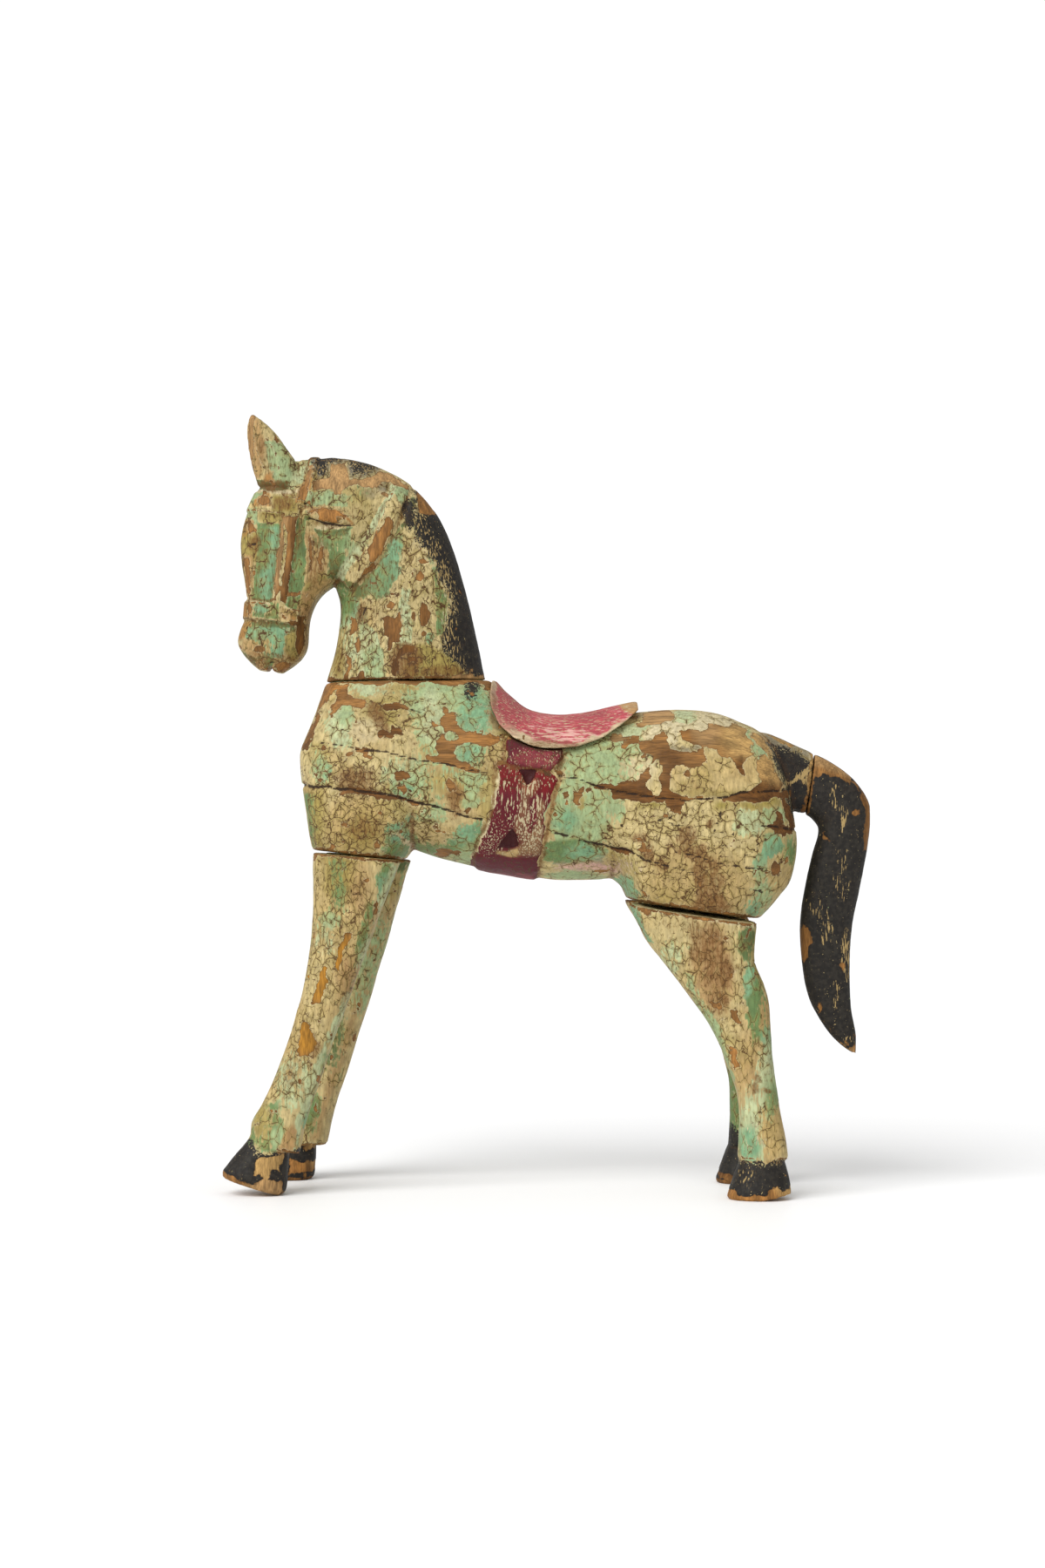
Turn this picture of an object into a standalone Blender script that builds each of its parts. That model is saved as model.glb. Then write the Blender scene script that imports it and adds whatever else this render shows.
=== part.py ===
"""A carved and painted wooden horse that stands on its own four hooves.

It faces -X with its left side towards -Y.  The origin is on the floor under the middle of the horse.
All sizes are in metres.
"""
import math

import bmesh
import bpy
import numpy as np

for old in list(bpy.data.objects):
    bpy.data.objects.remove(old)

# The side view is drawn from a zero this far in front of the middle of the finished horse.
MIDDLE_X = 0.0044

LEFT = -1
RIGHT = 1

# Fits between pieces.
FIT_GAP = 0.0004            # where two pieces touch
NECK_CRACK = 0.0010         # open crack along the neck joint
CHEST_CRACK = 0.0024        # opening of the front leg joints at the chest
THIGH_CRACK_LEFT = 0.0062   # opening of the left rear leg joint on the outside
THIGH_CRACK_RIGHT = 0.0030
FAR = 0.5                   # reach of a cutter past the horse

# Joint planes, each by two (x, z) points in the side view.
NECK_JOINT = ((-0.225, 0.5093), (-0.053, 0.5134))
FRONT_LEG_JOINT = ((-0.232, 0.3407), (-0.146, 0.3320))
REAR_LEG_JOINT = ((0.078, 0.2945), (0.204, 0.2767))

# Carved relief over the wood around it.
STRAP_RELIEF = 0.0025
GIRTH_RELIEF = 0.0028
PAD_RELIEF = 0.0062
SADDLE_THICK = 0.0078
CANTLE_RISE = 0.0032            # the saddle's cut end stands this much higher over the back
CANTLE_START_X = 0.050
CANTLE_LENGTH = 0.035

# Legs across the horse: how far the middle of the leg is from the middle of the horse.
LEG_TOP_Y = 0.0510
LEG_TOP_Z = 0.340
LEG_INNER_Y = 0.015
LEG_OUTER_Y = 0.090
ANKLE_Z = 0.120
FETLOCK_SLOPE = 0.42            # the lower end of the left front leg is cut across its lean
HOOF_Y = 0.0680
FRONT_RIGHT_SETBACK = 0.0215    # the right front hoof is further back than the left one
FRONT_RIGHT_TOP_SETBACK = 0.0050
SETBACK_POWER = 2.2             # how late the setback fades towards the top of the leg
REAR_RIGHT_SLIMMER = 0.007      # the right rear leg is carved slimmer in front
GASKIN_FOOT_Z = 0.090
GASKIN_HEIGHT = 0.200
HOOF_SINK = -0.002              # flat hooves are carved this deep and trimmed level with the floor

# Hooves: middle x, height of the sole, how far the top leans back for each metre up, and how many
# degrees the sole is turned toe-up.
FRONT_LEFT_HOOF = (-0.2884, 0.0082, 0.05, 17.3)
FRONT_RIGHT_HOOF = (-0.2712, HOOF_SINK, 0.33, 0.0)
REAR_LEFT_HOOF = (0.2138, HOOF_SINK, 0.03, 0.0)
REAR_RIGHT_HOOF = (0.2118, HOOF_SINK, 0.03, 0.0)

# Hooves, up from the sole: height, reach of the toe and of the heel, half width.
HOOF_LEVELS = (
    (0.0000, 0.0315, 0.0300, 0.0265),
    (0.0050, 0.0335, 0.0320, 0.0280),
    (0.0210, 0.0285, 0.0285, 0.0250),
    (0.0520, 0.0185, 0.0190, 0.0185),
)
HEEL_BEVEL = ((0.2140, 0.0), (0.2500, 0.0070), (0.2500, -0.0300), (0.2140, -0.0300))
FLOOR = ((-0.4, 0.0), (0.4, 0.0))

# Sides of the sections of each kind of piece, and how square its sections are: 2 is an ellipse.
TRUNK_SIDES = 26
HEAD_SIDES = 20
LEG_SIDES = 16
TAIL_SIDES = 16
EAR_SIDES = 12
NECK_CREST_SQUARE = 2.0
NECK_FRONT_SQUARE = 2.3
HEAD_SQUARE = 3.0
EAR_SQUARE = 2.0
LEG_SQUARE = 2.7
HOOF_SQUARE = 2.4
TAIL_SQUARE = 2.5
DOCK_SQUARE = 2.6

# Facets around and up each rounded cutter or swelling.
ARCH_FACETS = (20, 14)
EYE_FACETS = (16, 8)
SOCKET_FACETS = (16, 8)
EAR_HOLLOW_FACETS = (12, 8)
SHARP_ANGLE = 32                # degrees; a blunter edge is shaded smooth

# Paints: colour and roughness.
MINT_PAINT = ((0.36, 0.55, 0.40), 0.62)
CREAM_PAINT = ((0.55, 0.44, 0.26), 0.62)
CRIMSON_PAINT = ((0.48, 0.06, 0.12), 0.50)
BLACK_PAINT = ((0.015, 0.015, 0.017), 0.55)


def smooth_rows(rows, steps):
    """Rows of numbers with smooth rows added, a number of steps from each row to the next."""
    rows = np.array(rows, dtype=float)
    spans = np.linalg.norm(np.diff(rows[:, :4], axis=0), axis=1)
    slopes = np.diff(rows, axis=0) / spans[:, None]
    tangents = np.empty_like(rows)
    tangents[0] = slopes[0]
    tangents[-1] = slopes[-1]
    before = spans[:-1, None]
    after = spans[1:, None]
    tangents[1:-1] = (slopes[:-1] * after + slopes[1:] * before) / (before + after)
    result = []
    for i in range(len(spans)):
        for t in np.arange(steps) / steps:
            h1 = (1 + 2 * t) * (1 - t) ** 2
            h2 = t * (1 - t) ** 2
            h3 = t * t * (3 - 2 * t)
            h4 = t * t * (t - 1)
            result.append(h1 * rows[i] + h2 * spans[i] * tangents[i]
                          + h3 * rows[i + 1] + h4 * spans[i] * tangents[i + 1])
    result.append(rows[-1])
    return result


def signed_power(value, power):
    """The power of a number's size, with the number's own sign."""
    return math.copysign(abs(value) ** power, value)


def rib_ring(rib, sides, grow):
    """One closed section through the side outline, from edge point a to edge point b.

    A rib holds ax, az, bx, bz, the middle y, the half width, how square its a and b sides are, and
    where between b (0) and a (1) it is widest.
    """
    ax, az, bx, bz, y, half, square_a, square_b, widest = rib
    a = np.array((ax, az))
    b = np.array((bx, bz))
    outward = (a - b) / np.linalg.norm(a - b)
    a = a + outward * grow
    b = b - outward * grow
    middle = b + (a - b) * widest
    ring = []
    for i in range(sides):
        angle = 2 * math.pi * i / sides
        along = math.cos(angle)
        square = square_a if along >= 0 else square_b
        reach = (a - middle) if along >= 0 else (middle - b)
        place = middle + reach * signed_power(along, 2 / square)
        across = y + (half + grow) * signed_power(math.sin(angle), 2 / square)
        ring.append((place[0], across, place[1]))
    return ring


def rib(a, b, half, square=2.0, square_b=None, widest=0.5, y=0.0):
    """One rib, with the same squareness on both sides unless square_b is given."""
    if square_b is None:
        square_b = square
    return (*a, *b, y, half, square, square_b, widest)


def new_object(name, bm):
    """A scene object from mesh data, with its faces turned outward."""
    mesh = bpy.data.meshes.new(name)
    bmesh.ops.recalc_face_normals(bm, faces=bm.faces)
    bm.to_mesh(mesh)
    bm.free()
    piece = bpy.data.objects.new(name, mesh)
    bpy.context.collection.objects.link(piece)
    return piece


def loft(ribs, sides, steps=1, grow=0.0):
    """A solid whose skin runs smoothly through its ribs, grown evenly by a little."""
    bm = bmesh.new()
    sections = [np.array(rib_ring(row, sides, grow)) for row in smooth_rows(ribs, steps)]
    for end, inner in ((0, 1), (-1, -2)):
        outward = sections[end].mean(axis=0) - sections[inner].mean(axis=0)
        sections[end] += outward / np.linalg.norm(outward) * grow
    rings = [[bm.verts.new(point) for point in section] for section in sections]
    for ring, following in zip(rings, rings[1:]):
        for i in range(sides):
            j = (i + 1) % sides
            bm.faces.new((ring[i], ring[j], following[j]))
            bm.faces.new((ring[i], following[j], following[i]))
    bm.faces.new(rings[0])
    bm.faces.new(rings[-1])
    return new_object("loft", bm)


def prism(outline, low_y=-FAR, high_y=FAR):
    """A side-view outline of (x, z) points, carried straight across the horse."""
    bm = bmesh.new()
    face = bm.faces.new([bm.verts.new((x, low_y, z)) for x, z in outline])
    grown = bmesh.ops.extrude_face_region(bm, geom=[face])
    moved = [item for item in grown["geom"] if isinstance(item, bmesh.types.BMVert)]
    bmesh.ops.translate(bm, verts=moved, vec=(0, high_y - low_y, 0))
    return new_object("cutter", bm)


def ellipsoid(centre, radii, facets, tilt=0.0):
    """A ball scaled along X, Y and Z, then turned about Y by tilt degrees."""
    segments, rings = facets
    bm = bmesh.new()
    bmesh.ops.create_uvsphere(bm, u_segments=segments, v_segments=rings, radius=1.0)
    bmesh.ops.scale(bm, verts=bm.verts, vec=radii)
    turn = math.radians(tilt)
    for vert in bm.verts:
        x, y, z = vert.co
        vert.co = (centre[0] + x * math.cos(turn) + z * math.sin(turn), centre[1] + y,
                   centre[2] - x * math.sin(turn) + z * math.cos(turn))
    return new_object("cutter", bm)


def combine(target, operation, tool):
    """Applies a Boolean to the target and uses up the tool."""
    tool.hide_render = True
    tool.display_type = "WIRE"
    modifier = target.modifiers.new("boolean", "BOOLEAN")
    modifier.operation = operation
    modifier.solver = "EXACT"
    modifier.object = tool
    graph = bpy.context.evaluated_depsgraph_get()
    mesh = bpy.data.meshes.new_from_object(target.evaluated_get(graph))
    target.modifiers.remove(modifier)
    target.data = mesh
    bpy.data.objects.remove(tool)
    return target


def unite(target, *tools):
    """The target with each tool added."""
    for tool in tools:
        combine(target, "UNION", tool)
    return target


def cut(target, *tools):
    """The target with each tool carved away."""
    for tool in tools:
        combine(target, "DIFFERENCE", tool)
    return target


def shared(target, tool):
    """What the target and the tool have in common."""
    return combine(target, "INTERSECT", tool)


def block_below(line, x_from, x_to):
    """Everything under a joint plane, between two places along the horse."""
    (x0, z0), (x1, z1) = line
    slope = (z1 - z0) / (x1 - x0)
    return prism(((x_from, z0 + slope * (x_from - x0)), (x_to, z0 + slope * (x_to - x0)),
                  (x_to, -FAR), (x_from, -FAR)))


def lid(line, front_drop=0.0, rear_drop=0.0, outer_drop=0.0, side=LEFT):
    """Everything above a joint plane that is dropped at its front, rear and outer side, to gape."""
    (x0, z0), (x1, z1) = line
    origin = np.array((x0, side * LEG_INNER_Y, z0 - front_drop))
    along = np.array((1.0, 0.0, (z1 - rear_drop - z0 + front_drop) / (x1 - x0)))
    across = np.array((0.0, 1.0, -side * outer_drop / (LEG_OUTER_Y - LEG_INNER_Y)))
    bm = bmesh.new()
    foot = [origin + along * i * FAR + across * j * FAR for i, j in ((-1, -1), (1, -1), (1, 1), (-1, 1))]
    lower = [bm.verts.new(point) for point in foot]
    upper = [bm.verts.new((point[0], point[1], point[2] + FAR)) for point in foot]
    bm.faces.new(lower)
    bm.faces.new(upper)
    for i in range(4):
        j = (i + 1) % 4
        bm.faces.new((lower[i], lower[j], upper[j], upper[i]))
    return new_object("cutter", bm)


def finish(piece, name, paint):
    """Names, places and paints a finished piece."""
    colour, roughness = paint
    piece.location.x = -MIDDLE_X
    piece.name = name
    piece.data.name = name
    material = bpy.data.materials.new(name + "_paint")
    material.use_nodes = True
    shader = material.node_tree.nodes["Principled BSDF"]
    shader.inputs["Base Color"].default_value = (*colour, 1.0)
    shader.inputs["Roughness"].default_value = roughness
    shader.inputs["Metallic"].default_value = 0.0
    piece.data.materials.clear()
    piece.data.materials.append(material)
    piece.data.shade_smooth()
    piece.data.set_sharp_from_angle(angle=math.radians(SHARP_ANGLE))


# Trunk, from the chest to the buttocks: x, top z, bottom z, half width, height of the widest place,
# and how square the upper and lower sides are.  Where a joint plane cuts the trunk, its outline
# runs on past the plane.
TRUNK_STATIONS = (
    (-0.2490, 0.4400, 0.4240, 0.034, 0.433, 2.2, 2.2),
    (-0.2472, 0.4480, 0.4080, 0.046, 0.430, 2.2, 2.3),
    (-0.2425, 0.4600, 0.3770, 0.057, 0.425, 2.0, 2.5),
    (-0.2352, 0.4795, 0.3370, 0.067, 0.422, 1.8, 2.9),
    (-0.2265, 0.5060, 0.3140, 0.074, 0.420, 1.6, 3.2),
    (-0.2150, 0.5380, 0.3030, 0.080, 0.420, 1.5, 3.4),
    (-0.1900, 0.557, 0.298, 0.085, 0.418, 1.4, 3.4),
    (-0.1600, 0.566, 0.310, 0.087, 0.415, 1.4, 3.0),
    (-0.1460, 0.566, 0.327, 0.087, 0.413, 1.4, 2.5),
    (-0.1350, 0.562, 0.342, 0.086, 0.411, 1.4, 2.2),
    (-0.1180, 0.553, 0.3360, 0.086, 0.408, 1.5, 2.1),
    (-0.0880, 0.536, 0.3285, 0.087, 0.404, 1.6, 2.1),
    (-0.0590, 0.5160, 0.3220, 0.088, 0.401, 1.8, 2.1),
    (-0.0530, 0.5060, 0.3210, 0.088, 0.401, 1.8, 2.1),
    (-0.0380, 0.4910, 0.3185, 0.088, 0.399, 1.9, 2.1),
    (-0.0200, 0.4775, 0.3155, 0.088, 0.397, 2.0, 2.1),
    (0.0080, 0.4722, 0.3125, 0.087, 0.395, 2.0, 2.1),
    (0.0390, 0.4750, 0.3125, 0.085, 0.394, 2.0, 2.1),
    (0.0660, 0.4798, 0.3140, 0.084, 0.392, 2.0, 2.1),
    (0.0755, 0.4812, 0.3060, 0.0845, 0.390, 2.0, 2.2),
    (0.0855, 0.4825, 0.2850, 0.0855, 0.387, 2.0, 2.5),
    (0.1000, 0.4838, 0.2580, 0.088, 0.383, 2.1, 2.8),
    (0.1400, 0.4858, 0.2350, 0.090, 0.380, 2.1, 3.0),
    (0.1720, 0.4823, 0.2380, 0.089, 0.378, 2.1, 3.0),
    (0.1970, 0.4730, 0.2560, 0.086, 0.376, 2.1, 2.8),
    (0.2130, 0.4655, 0.2725, 0.081, 0.373, 2.1, 2.8),
    (0.2260, 0.4530, 0.2865, 0.073, 0.368, 2.1, 2.8),
    (0.2370, 0.4310, 0.3000, 0.063, 0.363, 2.1, 2.7),
    (0.2445, 0.4030, 0.3095, 0.052, 0.357, 2.1, 2.5),
    (0.2500, 0.3730, 0.3280, 0.037, 0.352, 2.1, 2.3),
    (0.2515, 0.3600, 0.3400, 0.026, 0.351, 2.1, 2.2),
)

# Stub of the tail, carved from the trunk's planks: top, bottom and half width.
DOCK_RIBS = (
    ((0.1950, 0.4660), (0.2150, 0.4050), 0.0300),
    ((0.2226, 0.4628), (0.2360, 0.3930), 0.0250),
    ((0.2440, 0.4542), (0.2505, 0.3845), 0.0215),
    ((0.2702, 0.4428), (0.2618, 0.3812), 0.0185),
)

# Saddle: its lower rim in the side view, from the front tip to the cut end behind.
SADDLE_RIM = (
    (-0.0545, 0.5300),
    (-0.0582, 0.4980),
    (-0.0560, 0.4825),
    (-0.0484, 0.4670),
    (-0.0344, 0.4540),
    (-0.0160, 0.4460),
    (0.0055, 0.4435),
    (0.0300, 0.4460),
    (0.0550, 0.4560),
    (0.0740, 0.4690),
    (0.0905, 0.4840),
    (0.0896, 0.5300),
)

# Girth: front edge and rear edge, top to bottom.
GIRTH_FRONT = ((-0.0487, 0.4270), (-0.0494, 0.4026), (-0.0520, 0.3794), (-0.0602, 0.3613),
               (-0.0686, 0.3431), (-0.0715, 0.3200), (-0.0720, 0.2900))
GIRTH_REAR = ((0.0100, 0.4210), (0.0039, 0.3945), (-0.0010, 0.3730), (-0.0043, 0.3566),
              (-0.0076, 0.3385), (-0.0109, 0.3205), (-0.0130, 0.2900))
GIRTH_NOTCHES = (
    ((-0.0255, 0.4205), (-0.0117, 0.4205), (-0.0200, 0.4075)),
    ((-0.0319, 0.3640), (-0.0480, 0.3455), (-0.0300, 0.3450)),
)

# Block carved under the saddle's rim: its ends, and how far it hangs below the rim.
PAD_TOP_X = (-0.0405, 0.0150)
PAD_TOP_Z = (0.4565, 0.4425)
PAD_BOTTOM = ((0.0075, 0.4225), (-0.0410, 0.4290))
PAD_CLEARANCE = 0.0018

# Where the trunk's flat undersides for the legs end, and the arches between the legs: front x,
# rear x, height of the foot, height of the top, half width.
ARMPIT_X = -0.1400
GROIN_X = 0.0760
FRONT_ARCH = (-0.2650, -0.1400, 0.3250, 0.3600, 0.0210)
REAR_ARCH = (0.0600, 0.2350, 0.2600, 0.3220, 0.0210)

# Neck, from below its joint up the crest: crest point, front point, half width.
NECK_RIBS = (
    ((-0.0540, 0.4950), (-0.2290, 0.4950), 0.0530),
    ((-0.0640, 0.5170), (-0.2235, 0.5150), 0.0500),
    ((-0.0690, 0.5390), (-0.2165, 0.5400), 0.0460),
    ((-0.0780, 0.5790), (-0.2120, 0.5700), 0.0425),
    ((-0.0868, 0.6120), (-0.2115, 0.5900), 0.0400),
    ((-0.0989, 0.6505), (-0.2170, 0.6080), 0.0370),
    ((-0.1165, 0.6852), (-0.2230, 0.6250), 0.0345),
    ((-0.1422, 0.7124), (-0.2320, 0.6430), 0.0330),
    ((-0.1758, 0.7303), (-0.2440, 0.6650), 0.0315),
    ((-0.2185, 0.7390), (-0.2620, 0.6850), 0.0290),
    ((-0.2520, 0.7365), (-0.2750, 0.7000), 0.0240),
)

# Head, from the poll down to the lips: front point, rear point, half width.
HEAD_RIBS = (
    ((-0.2640, 0.7330), (-0.2150, 0.7350), 0.0210),
    ((-0.2930, 0.7115), (-0.1700, 0.7150), 0.0300),
    ((-0.2995, 0.6970), (-0.1500, 0.6960), 0.0340),
    ((-0.3070, 0.6800), (-0.1500, 0.6760), 0.0360),
    ((-0.3128, 0.6540), (-0.1600, 0.6500), 0.0365),
    ((-0.3117, 0.6300), (-0.1760, 0.6260), 0.0360),
    ((-0.3086, 0.6120), (-0.2120, 0.6130), 0.0350),
    ((-0.3064, 0.5940), (-0.2335, 0.5950), 0.0330),
    ((-0.3080, 0.5730), (-0.2425, 0.5725), 0.0310),
    ((-0.3135, 0.5580), (-0.2437, 0.5560), 0.0315),
    ((-0.3148, 0.5495), (-0.2450, 0.5440), 0.0310),
    ((-0.3110, 0.5405), (-0.2500, 0.5345), 0.0285),
    ((-0.3020, 0.5300), (-0.2600, 0.5255), 0.0245),
    ((-0.2935, 0.5225), (-0.2690, 0.5193), 0.0195),
)

# Bridle straps in the side view.
BROW_BAND = ((-0.3300, 0.7080), (-0.2640, 0.6965), (-0.2440, 0.6930), (-0.2480, 0.6845),
             (-0.2730, 0.6780), (-0.3300, 0.6860))
CROWN_STRAP = ((-0.2410, 0.7600), (-0.2325, 0.7600), (-0.2405, 0.6880), (-0.2490, 0.6880))
CHEEK_STRAP = ((-0.2665, 0.6800), (-0.2728, 0.6345), (-0.2777, 0.5860), (-0.2628, 0.5860),
               (-0.2562, 0.6345), (-0.2505, 0.6860))
NOSE_BAND = ((-0.3300, 0.5930), (-0.2796, 0.5885), (-0.2505, 0.5820), (-0.2510, 0.5665),
             (-0.2838, 0.5705), (-0.3300, 0.5750))
THROAT_BAND = ((-0.1573, 0.7081), (-0.1650, 0.6853), (-0.1735, 0.6642), (-0.1847, 0.6432),
               (-0.1976, 0.6265), (-0.2100, 0.6145), (-0.2010, 0.6010), (-0.1862, 0.6170),
               (-0.1637, 0.6434), (-0.1509, 0.6740), (-0.1425, 0.6970))
MOUTH_SLIT = ((-0.2855, 0.5100), (-0.2755, 0.5100), (-0.2805, 0.5330))

# Ear: front edge, rear edge, half thickness, middle y.
EAR_RIBS = (
    ((-0.2880, 0.6850), (-0.2500, 0.7100), 0.0110, 0.0200),
    ((-0.2955, 0.7080), (-0.2555, 0.7315), 0.0115, 0.0225),
    ((-0.3010, 0.7270), (-0.2640, 0.7435), 0.0105, 0.0240),
    ((-0.3045, 0.7450), (-0.2745, 0.7580), 0.0090, 0.0250),
    ((-0.3056, 0.7620), (-0.2865, 0.7695), 0.0070, 0.0255),
    ((-0.3042, 0.7740), (-0.2950, 0.7760), 0.0045, 0.0255),
    ((-0.3020, 0.7788), (-0.2990, 0.7790), 0.0020, 0.0255),
)

EAR_HOLLOW_CENTRE = (-0.2850, 0.0370, 0.7360)
EAR_HOLLOW_RADII = (0.0095, 0.0065, 0.0290)
EAR_HOLLOW_TILT = -23.0

# Eye: a long lid that bulges over a hollow.
EYE_CENTRE = (-0.2235, 0.0335, 0.6765)
EYE_RADII = (0.0260, 0.0065, 0.0085)
EYE_TILT = 7.0
EYE_SOCKET_CENTRE = (-0.2225, 0.0395, 0.6690)
EYE_SOCKET_RADII = (0.0300, 0.0055, 0.0150)

# Legs, from above their joint down to the fetlock: height, front x, rear x, half width.
FRONT_LEG_LEVELS = (
    (0.3600, -0.2345, -0.1280, 0.0300),
    (0.3300, -0.2333, -0.1455, 0.0295),
    (0.3060, -0.2327, -0.1550, 0.0285),
    (0.2760, -0.2324, -0.1665, 0.0270),
    (0.2460, -0.2346, -0.1765, 0.0250),
    (0.2155, -0.2395, -0.1880, 0.0235),
    (0.1900, -0.2445, -0.1963, 0.0220),
    (0.1470, -0.2571, -0.2120, 0.0210),
    (0.1116, -0.2697, -0.2235, 0.0210),
    (0.0850, -0.2807, -0.2335, 0.0220),
    (0.0660, -0.2905, -0.2390, 0.0230),
)
FRONT_LEFT_CUFF = ((0.0465, -0.2925, -0.2425, 0.0235),)
FRONT_RIGHT_CUFF = ((0.0360, -0.2915, -0.2455, 0.0235),)
REAR_LEG_LEVELS = (
    (0.3150, 0.0740, 0.2095, 0.0320),
    (0.2900, 0.0815, 0.2105, 0.0315),
    (0.2745, 0.0892, 0.2105, 0.0310),
    (0.2556, 0.0984, 0.2082, 0.0300),
    (0.2341, 0.1153, 0.2075, 0.0285),
    (0.2119, 0.1328, 0.2165, 0.0265),
    (0.1930, 0.1470, 0.2217, 0.0250),
    (0.1758, 0.1596, 0.2229, 0.0235),
    (0.1475, 0.1746, 0.2247, 0.0215),
    (0.1268, 0.1825, 0.2272, 0.0205),
    (0.1062, 0.1896, 0.2302, 0.0205),
    (0.0837, 0.1924, 0.2338, 0.0215),
    (0.0639, 0.1926, 0.2380, 0.0230),
    (0.0400, 0.1912, 0.2412, 0.0235),
)

# Tail, from the joint down to the tip: outer point, inner point, half width.
TAIL_RIBS = (
    ((0.2710, 0.4427), (0.2626, 0.3805), 0.0190),
    ((0.2900, 0.4325), (0.2675, 0.3780), 0.0195),
    ((0.3085, 0.4190), (0.2720, 0.3733), 0.0195),
    ((0.3215, 0.4035), (0.2755, 0.3672), 0.0195),
    ((0.3275, 0.3900), (0.2750, 0.3590), 0.0190),
    ((0.3270, 0.3610), (0.2700, 0.3420), 0.0185),
    ((0.3176, 0.3050), (0.2615, 0.3020), 0.0180),
    ((0.3108, 0.2707), (0.2578, 0.2700), 0.0170),
    ((0.3085, 0.2370), (0.2590, 0.2400), 0.0160),
    ((0.3088, 0.2035), (0.2665, 0.1975), 0.0140),
    ((0.3107, 0.1805), (0.2780, 0.1740), 0.0120),
    ((0.3150, 0.1590), (0.2940, 0.1535), 0.0090),
    ((0.3152, 0.1390), (0.3115, 0.1402), 0.0050),
)


def trunk(grow=0.0, cantle_rise=0.0):
    """The trunk, grown evenly by a little; cantle_rise lifts its back behind the saddle's middle."""
    ribs = []
    for x, top, bottom, half, widest, square_up, square_down in TRUNK_STATIONS:
        top += cantle_rise * min(max((x - CANTLE_START_X) / CANTLE_LENGTH, 0.0), 1.0)
        share = (widest - bottom) / (top - bottom)
        ribs.append(rib((x, top), (x, bottom), half, square_up, square_down, share))
    return loft(ribs, TRUNK_SIDES, grow=grow)


def dock():
    """The stub that the tail is joined to."""
    return loft([rib(a, b, half, DOCK_SQUARE) for a, b, half in DOCK_RIBS], TAIL_SIDES, steps=2)


def arch(x_from, x_to, foot, top, half_width):
    """The rounded hollow between two legs, carved out from below."""
    middle = (x_from + x_to) / 2
    return ellipsoid((middle, 0.0, foot), ((x_to - x_from) / 2, half_width, top - foot), ARCH_FACETS)


def carved_pad():
    """Block under the saddle; its top follows the saddle's rim."""
    rim = [(x, z - PAD_CLEARANCE) for x, z in SADDLE_RIM[1:-1] if PAD_TOP_X[0] < x < PAD_TOP_X[1]]
    outline = [(PAD_TOP_X[0], PAD_TOP_Z[0])] + rim + [(PAD_TOP_X[1], PAD_TOP_Z[1])]
    return shared(trunk(PAD_RELIEF), prism(outline + list(PAD_BOTTOM)))


def carved_girth():
    """Girth strap around the belly, with two small triangles carved out on each side."""
    girth = shared(trunk(GIRTH_RELIEF), prism(GIRTH_FRONT + GIRTH_REAR[::-1]))
    return cut(girth, *[prism(notch) for notch in GIRTH_NOTCHES])


def make_body():
    body = unite(trunk(), dock(), carved_pad(), carved_girth())
    below_chest = block_below(FRONT_LEG_JOINT, -FAR, ARMPIT_X)
    below_thigh = block_below(REAR_LEG_JOINT, GROIN_X, FAR)
    return cut(body, lid(NECK_JOINT), below_chest, below_thigh, arch(*FRONT_ARCH), arch(*REAR_ARCH))


def make_saddle():
    """A thin curved seat that lies on the trunk and ends behind in a straight cut."""
    shell = shared(trunk(SADDLE_THICK, CANTLE_RISE), prism(SADDLE_RIM))
    return cut(shell, trunk(FIT_GAP), lid(NECK_JOINT))


def head_form(grow=0.0):
    """Neck and head without their carving, grown evenly by a little."""
    neck_ribs = [rib(a, b, half, NECK_CREST_SQUARE, NECK_FRONT_SQUARE) for a, b, half in NECK_RIBS]
    neck = loft(neck_ribs, HEAD_SIDES, grow=grow)
    head = loft([rib(a, b, half, HEAD_SQUARE) for a, b, half in HEAD_RIBS], HEAD_SIDES, grow=grow)
    return unite(neck, head)


def ear(side):
    """A pointed ear with a hollow carved in its outer side."""
    shape = loft([rib(a, b, half, EAR_SQUARE, y=side * y) for a, b, half, y in EAR_RIBS], EAR_SIDES)
    x, y, z = EAR_HOLLOW_CENTRE
    return cut(shape, ellipsoid((x, side * y, z), EAR_HOLLOW_RADII, EAR_HOLLOW_FACETS, EAR_HOLLOW_TILT))


def make_head():
    head = head_form()
    for side in (LEFT, RIGHT):
        x, y, z = EYE_SOCKET_CENTRE
        cut(head, ellipsoid((x, side * y, z), EYE_SOCKET_RADII, SOCKET_FACETS, EYE_TILT))
    straps = unite(prism(BROW_BAND), prism(CROWN_STRAP), prism(CHEEK_STRAP), prism(NOSE_BAND),
                   prism(THROAT_BAND))
    unite(head, shared(head_form(STRAP_RELIEF), straps))
    for side in (LEFT, RIGHT):
        x, y, z = EYE_CENTRE
        unite(head, ellipsoid((x, side * y, z), EYE_RADII, EYE_FACETS, EYE_TILT), ear(side))
    cut(head, prism(MOUTH_SLIT))
    (x0, z0), (x1, z1) = NECK_JOINT
    raised = ((x0, z0 + NECK_CRACK), (x1, z1 + NECK_CRACK))
    return cut(head, block_below(raised, -FAR, FAR))


def hoof(side, centre_x, sole_z, lean, tilt):
    """A hoof that widens from the fetlock down to its sole."""
    turn = math.radians(tilt)
    ribs = []
    for height, toe, heel, half in HOOF_LEVELS:
        ends = []
        for reach in (-toe, heel):
            u = reach + height * lean
            ends.append((centre_x + u * math.cos(turn) + height * math.sin(turn),
                         sole_z - u * math.sin(turn) + height * math.cos(turn)))
        ribs.append(rib(ends[0], ends[1], half, HOOF_SQUARE, y=side * HOOF_Y))
    return loft(ribs, LEG_SIDES)


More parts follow.
